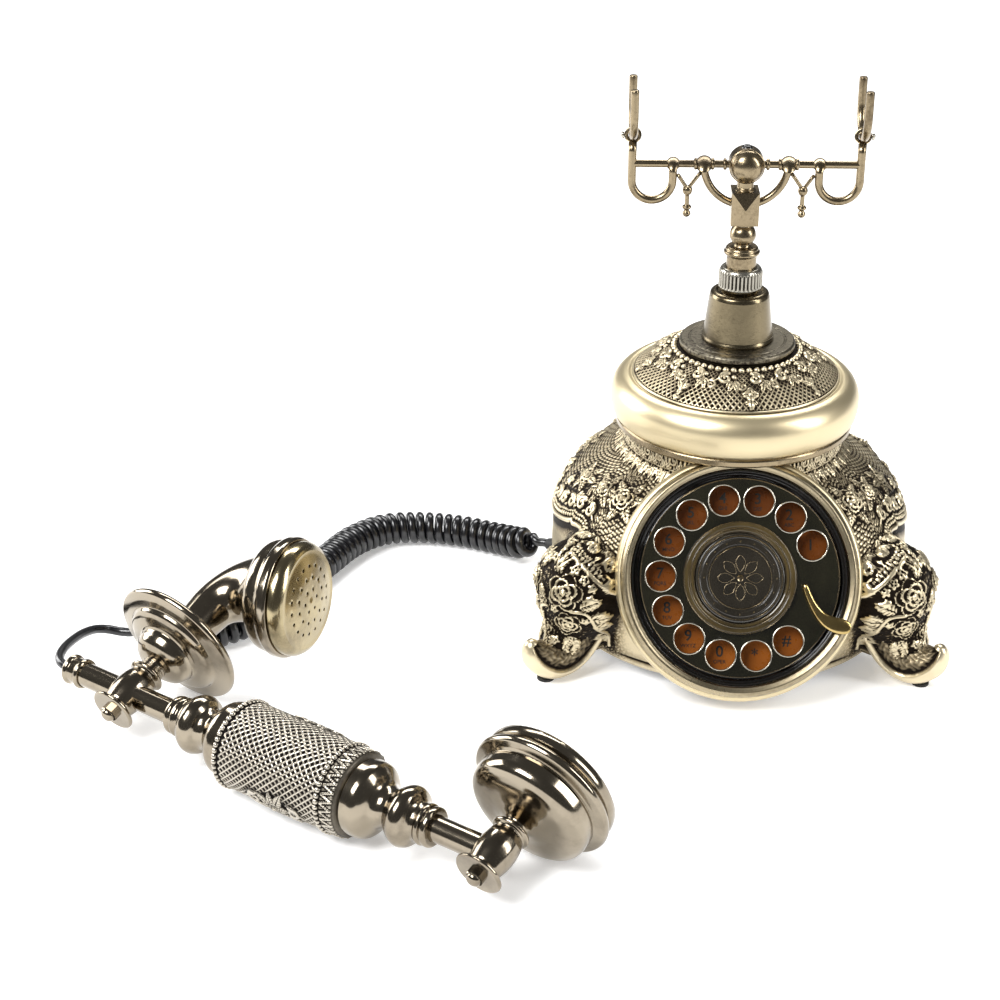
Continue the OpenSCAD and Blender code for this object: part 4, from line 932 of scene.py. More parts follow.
def box_blur(h, rows, cols, wrap_cols=False):
    """Mean over a window of the grid, twice over, near enough a soft blur."""
    out = h.astype(float)
    for _ in range(2):
        for axis, half in ((0, rows), (1, cols)):
            mode = "wrap" if (axis == 1 and wrap_cols) else "reflect"
            pad = [(0, 0), (0, 0)]
            pad[axis] = (half + 1, half)
            c = np.cumsum(np.pad(out, pad, mode=mode), axis=axis)
            n = 2 * half + 1
            late, early = range(n, c.shape[axis]), range(c.shape[axis] - n)
            out = (np.take(c, late, axis) - np.take(c, early, axis)) / n
    return out


class Relief:
    """Heights in mm over a grid of surface points, raised by stamps laid on the surface."""

    def __init__(self, points, normals, up=(0, 0, 1)):
        self.p, self.n, self.up = points, normals, up
        self.h = np.zeros(points.shape[:2])

    def local(self, centre, reach, spin=0):
        """The rows and columns near a point, with their offsets from it to the right and up."""
        d2 = ((self.p - centre) ** 2).sum(-1)
        near = np.argwhere(d2 < reach * reach)
        if not len(near):
            return None
        (r0, c0), (r1, c1) = near.min(0), near.max(0) + 1
        s = slice(r0, r1), slice(c0, c1)
        n = self.n[s][np.unravel_index(np.argmin(d2[s]), d2[s].shape)]
        right = np.cross(self.up, n)
        right /= np.linalg.norm(right)
        up = np.cross(n, right)
        q = self.p[s] - centre
        x, y = q @ right, q @ up
        c, sn = math.cos(math.radians(spin)), math.sin(math.radians(spin))
        return s, x * c + y * sn, -x * sn + y * c

    def stamp(self, centre, reach, spin, shape):
        """Raise the ground to shape(x, y) near a point, with x turned by spin from the right."""
        got = self.local(centre, reach, spin)
        if got:
            s, x, y = got
            self.h[s] = np.maximum(self.h[s], shape(x, y))

    def clear(self, centre, r):
        """Sink the ground round a flower."""
        got = self.local(centre, r)
        if got:
            s, x, y = got
            self.h[s] *= smooth(0.85, 1.0, np.hypot(x, y) / r)

    def rose(self, centre, r, spin, height):
        """Three rings of cupped petals round a swirling bud."""
        rings = ((0.56, 0.50, 5, 0.42), (0.34, 0.42, 4, 0.66), (0.17, 0.30, 3, 0.86))

        def shape(x, y):
            h = np.full(x.shape, -1.0)
            for ring, (d, pr, count, base) in enumerate(rings):
                for k in range(count):
                    a = 2 * PI * (k + 0.37 * ring + 0.15) / count
                    px, py = d * r * math.cos(a), d * r * math.sin(a)
                    q = np.hypot(x - px, y - py) / (pr * r)
                    rad = np.hypot(x, y) / r
                    outer = 0.55 + 0.45 * smooth(0.5, 1.0, rad / (d + pr * 0.6))
                    cup = base - 0.42 + 0.50 * np.clip(q, 0, 1) ** 4 * outer
                    edge = 1 - smooth(0.93, 1.05, q)
                    h = np.maximum(h, height * (cup * edge - (1 - edge) * 0.4))
            swirl = np.hypot(x, y) / (0.17 * r)
            cleft = np.sin(np.arctan2(y, x) + swirl * 4) > 0.3
            bud = height * (1.0 - 0.30 * swirl ** 2 - 0.22 * cleft)
            return np.maximum(np.where(swirl < 1, np.maximum(h, bud), h), 0)

        self.stamp(centre, r * 1.25, spin, shape)

    def leaf(self, centre, length, width, spin, height=1.3, serrate=0.12, curl=0.0):
        """A leaf from its stalk at the centre, pointing along spin."""

        def shape(x, y):
            t = x / length
            y = y - curl * length * t * t
            tt = np.clip(t, 0, 1)
            w = width * np.sin(PI * tt ** 0.75) ** 0.8 * (1 + serrate * ((tt * 7) % 1 - 0.5)) + 0.01
            e = np.abs(y) / w
            inside = (t > 0) & (t < 1) & (e < 1)
            dome = np.sqrt(np.clip(1 - e * e, 0, 1))
            vein = np.abs(((tt * 6.5 - np.abs(y) / width * 1.1) % 1) - 0.5)
            h = height * (0.35 + 0.65 * dome) * (0.8 + 0.2 * np.sin(PI * tt))
            h = h - height * 0.22 * (vein < 0.16) * (e < 0.9) - height * 0.40 * (np.abs(y) < 0.22)
            return np.where(inside, h, 0)

        self.stamp(centre, length * 1.15, spin, shape)

    def wire(self, centre, line, r, spin=0, mirror=False, height=1.0):
        """A round wire along a line of (x, y, radius) about the centre."""
        line = np.asarray(line, float)
        if mirror:
            line = line * (-1, 1, 1)

        def shape(x, y):
            h = np.zeros(x.shape)
            for a, b in zip(line, line[1:]):
                ab = b[:2] - a[:2]
                t = ((x - a[0]) * ab[0] + (y - a[1]) * ab[1]) / (ab @ ab + 1e-9)
                t = np.clip(t, 0, 1)
                d = np.hypot(x - a[0] - t * ab[0], y - a[1] - t * ab[1])
                w = r * (a[2] + (b[2] - a[2]) * t)
                rise = np.sqrt(np.clip(w * w - d * d, 0, None))
                h = np.maximum(h, height * rise + 0.15 * (d < w))
            return h

        self.stamp(centre, np.abs(line[:, :2]).max() * 1.45 + r * 2, spin, shape)

    def bead(self, centre, r, height=1.0):
        def shape(x, y):
            d = np.hypot(x, y)
            return np.where(d < r, 0.25 + height * np.sqrt(np.clip(r * r - d * d, 0, None)), 0)

        self.stamp(centre, r * 1.6, 0, shape)

    def flower(self, centre, r, petals, spin, height):
        """A flat flower with a round eye."""

        def shape(x, y):
            a, d = np.arctan2(y, x), np.hypot(x, y) / r
            lobe = 0.62 + 0.38 * np.abs(np.cos(a * petals / 2))
            inside = d < lobe
            h = height * (0.35 + 0.65 * np.sin(np.clip(d / lobe, 0, 1) * PI) ** 0.7) * inside
            h = np.where(d < 0.24, height * 1.1, h)
            return np.where((d > 0.24) & (d < 0.34), height * 0.15, h)

        self.stamp(centre, r * 1.2, spin, shape)


class TurnedRelief(Relief):
    """Relief on a turned outline of (radius, height), which place(r, z, angle) puts in space."""

    def __init__(self, outline, at, cols, place, up, outward=1):
        run = travel(outline)
        self.r, self.z = (np.interp(at, run, outline[:, k])[:, None] for k in (0, 1))
        self.deg = np.linspace(0, 360, cols, endpoint=False)[None, :]
        p = place(self.r, self.z, np.radians(self.deg))
        wrap = np.concatenate([p[:, -1:], p, p[:, :1]], 1)
        super().__init__(p, outward * grid_normals(wrap)[:, 1:-1], up)

    def lattice(self, count, turned, power):
        """Crossed ridges, this many round."""
        u = self.deg / 360 * count
        ridges = (np.abs(np.cos(PI * k)) ** power for k in (u + turned, u - turned))
        return np.maximum(*ridges)

    def make(self, name, m, depth, wear, material, body, *nodes):
        q = self.p + self.n * self.h[..., None] * depth
        faces = grid_faces(*self.h.shape, True).tolist()
        piece(name, put(q.reshape(-1, 3), m), faces, material, body, *nodes, wear=wear.reshape(-1))


def spiral(r, turns=1.25, tail=(0, 0), n=26):
    """A C-scroll: a spiral that ends in a tapering tail."""
    out = []
    for k in range(n):
        t = k / (n - 1)
        a = 2 * PI * turns * t
        q = r * (0.18 + 0.82 * t)
        out.append((q * math.cos(a), q * math.sin(a), 0.75 + 0.25 * t))
    out.append((tail[0], tail[1], 0.5))
    return out


# The round body's heights and radii, and the hem's height at each ornament angle
PZ = [2, 6, 9, 14, 20, 27, 34, 41, 47, 52, 57, 61.5, 66, 69.5, 73, 75.5, 78, 80, 82, 83.5, 85, 88, 96]
PR = [69, 71, 72.6, 73.8, 74.8, 75.6, 76, 76, 75.6, 74.5, 72.8, 70.4, 67.4, 64, 60, 56.3, 52.5,
      49.3, 46.8, 45.4, 44.7, 44.4, 44.4]
HEM = ([0, 30, 34, 37, 40, 43, 46, 49, 52, 55, 58, 61, 64, 70, 76, 82, 86, 90],
       [34, 34, 35.5, 38, 43.5, 48.2, 51.7, 54, 55.6, 56.5, 57, 57.2, 57, 55.5, 53.2, 51.2, 50.5, 50.3])
TOE = np.array((78, 60)) / math.hypot(78, 60)
# The back corners are turned towards the back and drawn in
BACK_SWING, BACK_INSET = 17.4, 10.6
CORNER = 53


class Quarter:
    """The body's surface over a quarter turn, from the front or the back round to the side."""

    def __init__(self, back):
        self.back = back
        self.lobe = 52.4 - BACK_SWING if back else 52.4
        self.bulge, self.height = (16.1, 31) if back else (20.0, 38.0)

    def distance(self, p):
        """Distance to the body: the round, a ball at the corner and a cone down from it."""
        x, y, z = np.abs(p[..., 0]), np.abs(p[..., 1]), p[..., 2]
        d0 = (np.hypot(x, y) - np.interp(z, PZ, PR)) * 0.8
        if self.back:
            c, s = math.cos(math.radians(BACK_SWING)), math.sin(math.radians(BACK_SWING))
            x, y = x * c + y * s + BACK_INSET * TOE[0], -x * s + y * c + BACK_INSET * TOE[1]
        d1 = np.sqrt((x - 62) ** 2 + (y - 46.5) ** 2 + (z - self.height) ** 2) - self.bulge
        a, b = np.array((63, 47.5, self.height - 6.0)), np.array((71, 53.7, 15.0))
        ab = b - a
        x, y, z = x - a[0], y - a[1], z - a[2]
        t = np.clip((x * ab[0] + y * ab[1] + z * ab[2]) / (ab @ ab), 0, 1)
        q = np.sqrt((x - t * ab[0]) ** 2 + (y - t * ab[1]) ** 2 + (z - t * ab[2]) ** 2)
        r0 = self.bulge - 2.5
        return smin(d0, smin(d1, q - (r0 - (r0 - 9.0) * t), 4), 5)

    def radius(self, phi, z):
        """The surface's radius at an angle and a height, walked to from outside."""
        dx, dy = np.sin(phi), -np.cos(phi)
        r = np.full(np.broadcast(phi, z).shape, 118.0)
        for _ in range(60):
            r = r - self.distance(np.stack([r * dx, r * dy, np.broadcast_to(z, r.shape)], -1)) * 0.9
        return r

    def real(self, deg):
        """The true angle for an ornament angle, whose corner is always at CORNER."""
        return np.interp(deg, (0, CORNER, 90), (0, self.lobe + 0.6, 90))

    def on(self, deg, z):
        """The surface's point at an ornament angle and a height."""
        ph = np.radians(np.array([[self.real(deg)]], float))
        r = self.radius(ph, np.array([[z]], float))[0, 0]
        return np.array((r * math.sin(ph[0, 0]), -r * math.cos(ph[0, 0]), z))

    def grid(self, cols, rows):
        """Ornament angles and points over the quarter, closer together on the corner."""
        a = np.linspace(0, 90, 721)
        density = 1 + 0.9 * np.exp(-((a - self.lobe) / 15) ** 2)
        c = np.concatenate([[0], np.cumsum((density[1:] + density[:-1]) / 2)])
        deg = np.interp(np.linspace(0, c[-1], cols), c, a)
        zz = np.linspace(6, 93, 400)
        corner_r = self.radius(np.full((1, 1), math.radians(self.lobe)), zz[:, None])[:, 0]
        step = np.maximum(np.hypot(np.diff(zz), np.diff(np.interp(zz, PZ, PR))),
                          np.minimum(np.hypot(np.diff(zz), np.diff(corner_r)) * 0.8, 1.2))
        run = np.concatenate([[0], np.cumsum(step)])
        z = np.interp(np.linspace(0, run[-1], rows), run, zz)
        dg, z = np.meshgrid(deg, z)
        ph = np.radians(dg)
        r = self.radius(ph, z)
        own = np.interp(dg, (0, self.lobe + 0.6, 90), (0, CORNER, 90))
        return own, np.stack([r * np.sin(ph), -r * np.cos(ph), z], -1)


def grid_normals(p):
    n = np.cross(np.gradient(p, axis=1), np.gradient(p, axis=0))
    return n / np.maximum(np.linalg.norm(n, axis=2), 1e-9)[..., None]


# Ornament on the body. Angles go round from the front or the back to the side, with the corner
# at CORNER, and heights are from the table
# Angle, height, radius and spin
UPPER_ROSES = (
    (49.5, 72.5, 6.4, 10), (62, 72, 5.4, 70), (37, 73, 4.6, 40), (77, 71, 5.0, 20), (12, 71, 5.4, 0),
)
UPPER_FLOWERS = ((70, 66), (30, 64), (84, 66), (20, 62), (6, 60))
# Angle, height, length, width, direction and curl
CORNER_LEAVES = (
    (52.5, 49.5, 10.5, 2.4, 112, 0.1), (50.5, 49, 9.5, 2.2, 72, -0.1), (57, 48, 9.5, 2.2, 60, 0.1),
    (61.5, 47, 9, 2.2, 100, 0.1), (44, 37.2, 9.5, 3.0, 152, 0.15), (42.6, 33, 10.5, 3.4, 196, -0.1),
    (42.4, 28.5, 9.5, 3.2, 205, -0.15), (43.4, 22, 11.0, 2.6, 262, 0.12),
    (46.2, 20, 10.0, 2.2, 285, -0.1), (64, 37, 9.5, 3.0, 28, -0.15), (65, 32, 10.5, 3.3, -14, 0.1),
    (64.5, 25.5, 10, 3.0, -40, 0.1), (60, 20, 9.5, 2.5, -95, 0.1), (52.5, 21, 9, 2.4, 250, 0.1),
    (56, 20.5, 9, 2.3, -70, -0.1), (53.5, 36.5, 7.5, 2.0, 60, 0), (54.5, 31.5, 7, 2.0, -60, 0),
    (47, 22, 7.5, 2.2, 300, 0), (40.5, 43, 7.5, 2.1, 128, 0.1), (66.5, 44, 8, 2.2, 45, 0.1),
    (71, 38, 7, 2.2, 10, 0), (70, 30, 7, 2.2, -30, 0),
)
# Angle and height of each bend
STEMS = (
    ((46, 35.5), (43.2, 35), (42.2, 31.5), (42.4, 26.5), (43.4, 19), (44.2, 12.5)),
    ((62, 35.5), (64.4, 35), (65.2, 31.5), (65, 26), (63.5, 19), (62, 12.5)),
    ((53, 35), (55, 32.5), (54.6, 28), (53.4, 22), (53, 14)),
)
STEM_R = 0.9
# Angle, height, radius, spin and rise
CORNER_ROSES = (
    (48, 43, 7.6, 20, 3.2), (47.3, 28.6, 5.7, 60, 2.6), (60.2, 42, 6.6, 75, 2.9),
    (59.5, 29, 5.4, 10, 2.5), (53.6, 23.2, 4.6, 35, 2.3), (54.2, 35.6, 4.4, 80, 2.0),
)
# Angle, height and radius
CORNER_FLOWERS = (
    (47.5, 51.5, 2.4), (44.6, 48.6, 2.3), (42.5, 45.5, 2.1), (42.2, 41, 2.0), (56, 52.5, 2.4),
    (60.5, 51.5, 2.2), (64.6, 49, 2.2), (66.6, 41, 2.0), (43.4, 31, 1.8), (50.2, 34.6, 1.7),
    (57.2, 34.8, 1.6), (50.5, 19.5, 1.9), (57, 18, 1.9),
)


def hem_rows(rel, over_hem):
    """Two rows of beads above the hem, and pairs of C-scrolls over them."""
    angles = np.linspace(0.5, 89.5, 180)
    run = travel(np.array([over_hem(f, 4) for f in angles]))
    for off, r in ((3.4, 0.92), (5.2, 0.78)):
        for at in np.arange(1.2, run[-1], r * 2.15):
            rel.bead(over_hem(np.interp(at, run, angles), off), r, 1.2)
    for k, f in enumerate(np.arange(5, 89, 6.2)):
        a, b = over_hem(max(f - 1.5, 0.5), 9.5), over_hem(min(f + 1.5, 89.5), 9.5)
        lean = math.degrees(math.atan2(b[2] - a[2], np.linalg.norm((b - a)[:2])))
        c = over_hem(f, 9.5)
        rel.clear(c, 4.2)
        rel.wire(c, spiral(2.9, 1.35, (4.6, -1.5)), 0.95, lean, k % 2 == 1, 1.7)
        rel.bead(over_hem(min(f + 3.1, 89), 7.4), 0.9, 1.3)
        if k % 3 == 1:
            rel.leaf(over_hem(f, 12.5), 5.5, 1.5, lean + 80, 1.3, 0.1)


def upper_band(rel, on):
    """Roses with their leaves, and leaves, palmettes and scrolls at the neck."""
    for f, z, r, spin in UPPER_ROSES:
        c = on(f, z)
        rel.clear(c, r * 1.25)
        for a in (30, 100, 150, 215, 270, 335):
            rel.leaf(c, r * 1.75, r * 0.42, a + spin, 1.3)
        rel.rose(c, r, spin, r * 0.62)
    for f, z in UPPER_FLOWERS:
        rel.flower(on(f, z), 2.8, 5, f * 7, 1.6)
    # Feathery leaves that stream down from the neck
    for k, f in enumerate(np.arange(3, 90, 7.25)):
        c = on(f, 84.5)
        rel.leaf(c, 6.5 if k % 2 else 5.0, 1.9, -90, 1.3, 0.2)
        for a in (-128, -52):
            rel.leaf(c, 6.0, 1.3, a, 1.0, 0.2)
    for f in np.arange(4.5, 90, 9.0):
        c = on(f, 86)
        for a, length in ((90, 5.2), (58, 4.6), (122, 4.6), (26, 3.6), (154, 3.6)):
            rel.leaf(c, length, 0.95, a, 1.25, 0)
        rel.wire(on(min(f + 4.5, 90), 89.6), spiral(1.9, 1.1, (2.6, -1.6)), 0.62, 0, height=1.3)


def corner_bouquet(rel, on):
    for f, z, length, width, a, curl in CORNER_LEAVES:
        rel.leaf(on(f, z), length, width, a, 1.6, 0.16, curl)
    for stem in STEMS:
        s = rel.local(on(*stem[1]), 32)[0]
        line = catmull([on(*q) for q in stem], 1.2)
        h = np.zeros(rel.h[s].shape)
        for a, b in zip(line, line[1:]):
            ab = b - a
            t = np.clip(((rel.p[s] - a) @ ab) / (ab @ ab), 0, 1)
            d = np.linalg.norm(rel.p[s] - a - t[..., None] * ab, axis=-1)
            rise = np.sqrt(np.clip(0.81 - d * d, 0, None))
            h = np.maximum(h, 1.5 * rise + 0.2 * (d < STEM_R))
        rel.h[s] = np.maximum(rel.h[s], h)
    for f, z, r, spin, rise in CORNER_ROSES:
        rel.rose(on(f, z), r, spin, rise)
    for f, z, r in CORNER_FLOWERS:
        rel.flower(on(f, z), r * 1.2, 5, f * 11, 1.5)
    for f in (44.9, 61.6):
        rel.leaf(on(f, 17.8) + (0, 0, 3.6), 8.0, 2.6, -90, 2.4, 0)
    # Pale pointed leaf beside the bezel
    rel.leaf(on(40.5, 50), 10, 2.8, 75, 1.2, 0)


def ornament(quarter, deg, p):
    """The relief over a quarter of the body, and the surface's normals."""
    n = grid_normals(p)
    rel = Relief(p, n)
    z = p[..., 2]
    cols = p.shape[1]
    hem = np.interp(deg[0], *HEM)
    # Distances along the surface: round from the front, up from the rim, and up from the hem
    u = np.stack([travel(line) for line in p])
    v = np.stack([travel(line) for line in p.transpose(1, 0, 2)], 1)
    v_hem = np.array([np.interp(hem[k], z[:, k], v[:, k]) for k in range(cols)])
    spread = np.ones(2 * (cols // 50) + 1)
    padded = np.pad(v_hem, len(spread) // 2, mode="reflect", reflect_type="odd")
    v_hem = np.convolve(padded, spread / spread.sum(), "valid")
    above = v - v_hem[None, :]

    def over_hem(f, off):
        """A point this far above the hem, along the surface."""
        k = np.interp(f, deg[0], np.arange(cols))
        k0 = int(min(k, cols - 2))
        w = k - k0
        q = [np.array([np.interp(v_hem[c] + off, v[:, c], p[:, c, x]) for x in range(3)])
             for c in (k0, k0 + 1)]
        return q[0] * (1 - w) + q[1] * w

    # The shawl above the hem: raised, woven in short dashes, and in fine folds at the neck
    row = above / 1.75
    dash = deg / 90 * 118 / 3.1 + 0.5 * (np.floor(row) % 2) + 0.25 * (row % 1)
    dashes = np.clip(1.25 * np.abs(np.sin(PI * dash)) ** 0.7, 0, 1)
    weave = np.sin(PI * (row % 1)) ** 0.8 * dashes
    neck = smooth(78, 82, z)
    fall = np.abs(np.cos(PI * deg / 2.4 + 0.8 * np.sin(v * 0.55))) ** 2
    shawl = smooth(-0.2, 0.6, above)
    ground = shawl * 0.7
    rel.h += shawl * smooth(6.6, 7.2, above) * ((1 - neck) * 0.62 * weave + neck * 0.8 * fall)
    # Rough leafy ground between the flowers on the corner
    under = 1 - smooth(-1.6, 0.0, above)
    lobe = np.exp(-((deg - 54) / 14.5) ** 4) * smooth(5.5, 9, z)
    rough = np.sin(u * 2.1 + np.sin(v * 1.7) * 1.4) * np.sin(v * 2.3 + np.cos(u * 1.9) * 1.3)
    rel.h += under * lobe * (0.4 * rough + 0.1)
    band = np.sqrt(np.clip(1 - ((above - 1.0) / 1.4) ** 2, 0, 1)) * 1.9
    rel.h = np.maximum(rel.h, band - ground * (above > 0))
    hem_rows(rel, over_hem)
    upper_band(rel, quarter.on)
    # Two plain ribs round the neck
    for height, half in ((85.6, 0.7), (92.4, 0.8)):
        rel.h = np.maximum(rel.h, np.maximum(1 - ((z - height) / half) ** 2, 0) * 0.9)
    corner_bouquet(rel, quarter.on)
    # Fine line and lip at the bottom of the skirt
    line = np.exp(-((z - 9.6) / 0.45) ** 2) * 0.55
    lip = (1 - smooth(7.2, 9.4, z)) * 0.5
    rel.h += (lip - line) * (1 - lobe)
    return rel.h + ground, n


def worn(h, rows, cols, wrap, base, calm, k, fine, broad):
    """Brightness of the rubbed metal: high on ridges, low in hollows, even where it is smooth."""
    soft = h - box_blur(h, rows, cols, wrap)
    base = base + broad * (h - box_blur(h, rows * 3, cols * 3, wrap))
    tiny = h - box_blur(h, 1, 1, wrap)
    busy = np.clip(box_blur(np.abs(soft), rows, cols, wrap) / 0.30, 0, 1)
    return base - calm * busy + k * soft + fine * tiny


def build_body():
    quads = []
    for back in (False, True):
        quarter = Quarter(back)
        deg, p = quarter.grid(236, 212)
        h, n = ornament(quarter, deg, p)
        q = p + n * h[..., None] * 0.92
        q[-1, :, 2] = np.minimum(q[-1, :, 2], 93)
        quads.append((q, worn(h, 5, 4, False, 0.75, 0.50, 0.60, 1.0, 0.22)))
    (f, fw), (b, bw) = quads
    order = [
        (f, fw), (b[:, ::-1] * (1, -1, 1), bw[:, ::-1]),
        (b * (-1, -1, 1), bw), (f[:, ::-1] * (-1, 1, 1), fw[:, ::-1]),
    ]
    pts = np.concatenate([g[:, :-1] for g, _ in order], 1)
    wr = np.concatenate([w[:, :-1] for _, w in order], 1)
    # Underside: a lip and a ring in to the cover
    edge = pts[0].copy()
    rho = np.hypot(edge[:, 0], edge[:, 1])
    lip, inner = edge.copy(), edge.copy()
    lip[:, :2] *= ((rho - 1.2) / rho)[:, None]
    lip[:, 2] = 5.6
    inner[:, :2] *= (66.5 / rho)[:, None]
    inner[:, 2] = 7.6
    pts = np.concatenate([inner[None], lip[None], pts], 0)
    wr = np.concatenate([np.full((2, pts.shape[1]), 0.3), wr], 0)
    flat = put(pts.reshape(-1, 3), BASE)
    total = pts.shape[1]
    faces = grid_faces(pts.shape[0], total, True)
    # Leave out what lies inside the dial's ring
    local = put(flat, np.linalg.inv(DIAL))
    inside = (np.hypot(local[:, 0], local[:, 1]) < 46.6) & (local[:, 2] > -16)
    faces = faces[~inside[faces].all(1)]
    wr = wr.reshape(-1)
    half = flat[faces].mean(1)[:, 0] < base_mid[0]
    for name, pick, nodes in (("body_left", half, ["body_shell"]), ("body_right", ~half, [])):
        f = faces[pick]
        used = np.unique(f)
        index = np.full(len(flat), -1)
        index[used] = np.arange(len(used))
        piece(name, flat[used], index[f].tolist(), RESIN, "base", *nodes, wear=wr[used])


build_body()

# Distance out from the body's middle, height and radius along a boot
FOOT = (
    (80, 27, 14.2), (84, 20, 13.4), (87.5, 14.2, 12.2), (91, 11.2, 11.2), (95, 10.4, 10.4),
    (98.6, 11.6, 9.6), (102.0, 13.6, 8.2), (104.4, 16.2, 6.2), (105.8, 18.8, 3.9),
    (106.4, 20.8, 1.6),
)
# Distance to the side and along the boot, and radius, of the flowers on its face
FOOT_FLOWERS = (
    (0, 23.5, 3.6), (-9.5, 19.5, 3.4), (9.5, 19.5, 3.4), (-14, 12.5, 2.8), (14, 12.5, 2.8),
    (-6, 14, 2.6), (6, 14, 2.6),
)


def foot(sx, back):
    """A boot under one corner: a fat smooth rim round a sunken, flowered face."""
    sy = 1 if back else -1
    knots = np.array(FOOT)
    if back:
        knots[:2, 1] -= (3, 1)
        knots[:2, 2] -= (2.5, 1.2)
    line = catmull(knots, 0.45)
    path = np.stack([line[:, 0] * TOE[0], line[:, 0] * TOE[1], line[:, 1]], -1)
    t = tangents(path)
    side = np.array((-TOE[1], TOE[0], 0))
    up = np.cross(t, np.broadcast_to(side, t.shape))
    up *= np.sign(up[:, 2:3] + 1e-9)
    count = 132
    a = np.arange(count) * 2 * PI / count
    ca, sa = np.cos(a), np.sin(a)
    r = line[:, 2][:, None]
    length = travel(path)[:, None]
    # Flattened above, where the face is sunk inside the rim
    across = np.abs((a - PI / 2 + PI) % (2 * PI) - PI)[None, :] * r
    inner = np.minimum(r * 2.1 - across, (length[-1] - length - 1.0) * 1.2)
    sunk = smooth(0.0, 1.6, inner)
    rr = r * (1 - 0.10 * np.maximum(sa, 0)[None, :] ** 2) - 2.3 * sunk
    u, w = (a - PI / 2)[None, :] * r, length + 0 * r
    u = np.where(u > PI * r, u - 2 * PI * r, u)
    lump = np.sin(u * 1.5 + np.cos(w * 1.1)) * np.sin(w * 1.6 + np.sin(u * 1.2))
    rr = rr + sunk * 0.30 * lump
    for fu, fw, big in FOOT_FLOWERS:
        f, turned_by = np.hypot(u - fu, w - fw), np.arctan2(u - fu, w - fw)
        petals = f < big * (0.65 + 0.35 * np.abs(np.cos(2.5 * turned_by)))
        flower = petals * (1.4 - 0.9 * np.abs(f / big - 0.5))
        rr = rr + sunk * np.where(f < 0.25 * big, 1.5, flower)
    around = ca[None, :, None] * side + sa[None, :, None] * up[:, None, :]
    p = path[:, None, :] + rr[..., None] * around
    p[..., 2] = np.maximum(p[..., 2], 1.0 + 0.12 * (p[..., 2] < 1.0))
    h = rr - r
    share = np.linspace(0, 1, len(line))[:, None]
    wear = 0.84 + 0.50 * (h - box_blur(h, 7, 6, True)) - 0.42 * sunk
    # Darker over the first quarter of the boot, next to the body
    wear = wear - 0.25 * (1 - smooth(0.0, 0.25, share))
    if back:
        p[..., :2] -= BACK_INSET * TOE
        p = put(p.reshape(-1, 3), turn("Z", BACK_SWING))
    p = p.reshape(-1, 3) * (sx, sy, 1)
    faces = grid_faces(len(line), count, True).tolist()
    faces.append(list(range((len(line) - 1) * count, len(line) * count)))
    if sx * sy < 0:
        faces = [f[::-1] for f in faces]
    return p, faces, wear.reshape(-1)


for back, end in ((False, "front"), (True, "back")):
    for sx, hand in ((-1, "left"), (1, "right")):
        points, faces, wear = foot(sx, back)
        piece(f"foot_{end}_{hand}", put(points, BASE), faces, RESIN, "base", wear=wear)

# ---------------------------------------------------------------- relief on the cap and the grip

CAP_Z = 96.6
CAP_RING = [
    (41, 0), (48.9, 0), (50.6, 1.0, 1.2), (51.6, 4.2, 2.2), (52, 8, 2.2), (51.6, 11.8, 2.2),
    (50, 15.0, 1.8), (47.4, 17.2, 1.6), (44.9, 18.0, 0.8), (43.7, 17.3, 0.4), (43.0, 17.6, 0.3),
    (40.5, 17.0), (40, 15.4), (46, 12.6), (48, 8), (47, 4), (44, 3.4), (41, 3.2), (41, 0),
]
DOME = [
    (43.4, 17.2), (41.8, 18.6, 1), (40, 20.2, 1), (34, 24.5, 2), (28.6, 27.7, 1), (26.4, 28.6, 0.8),
    (24.9, 29.0, 0.6), (24.2, 29.6, 0.3), (20, 30.2),
]
# Around the cap, the ornament starts this far from the front
CAP_TURN = 5


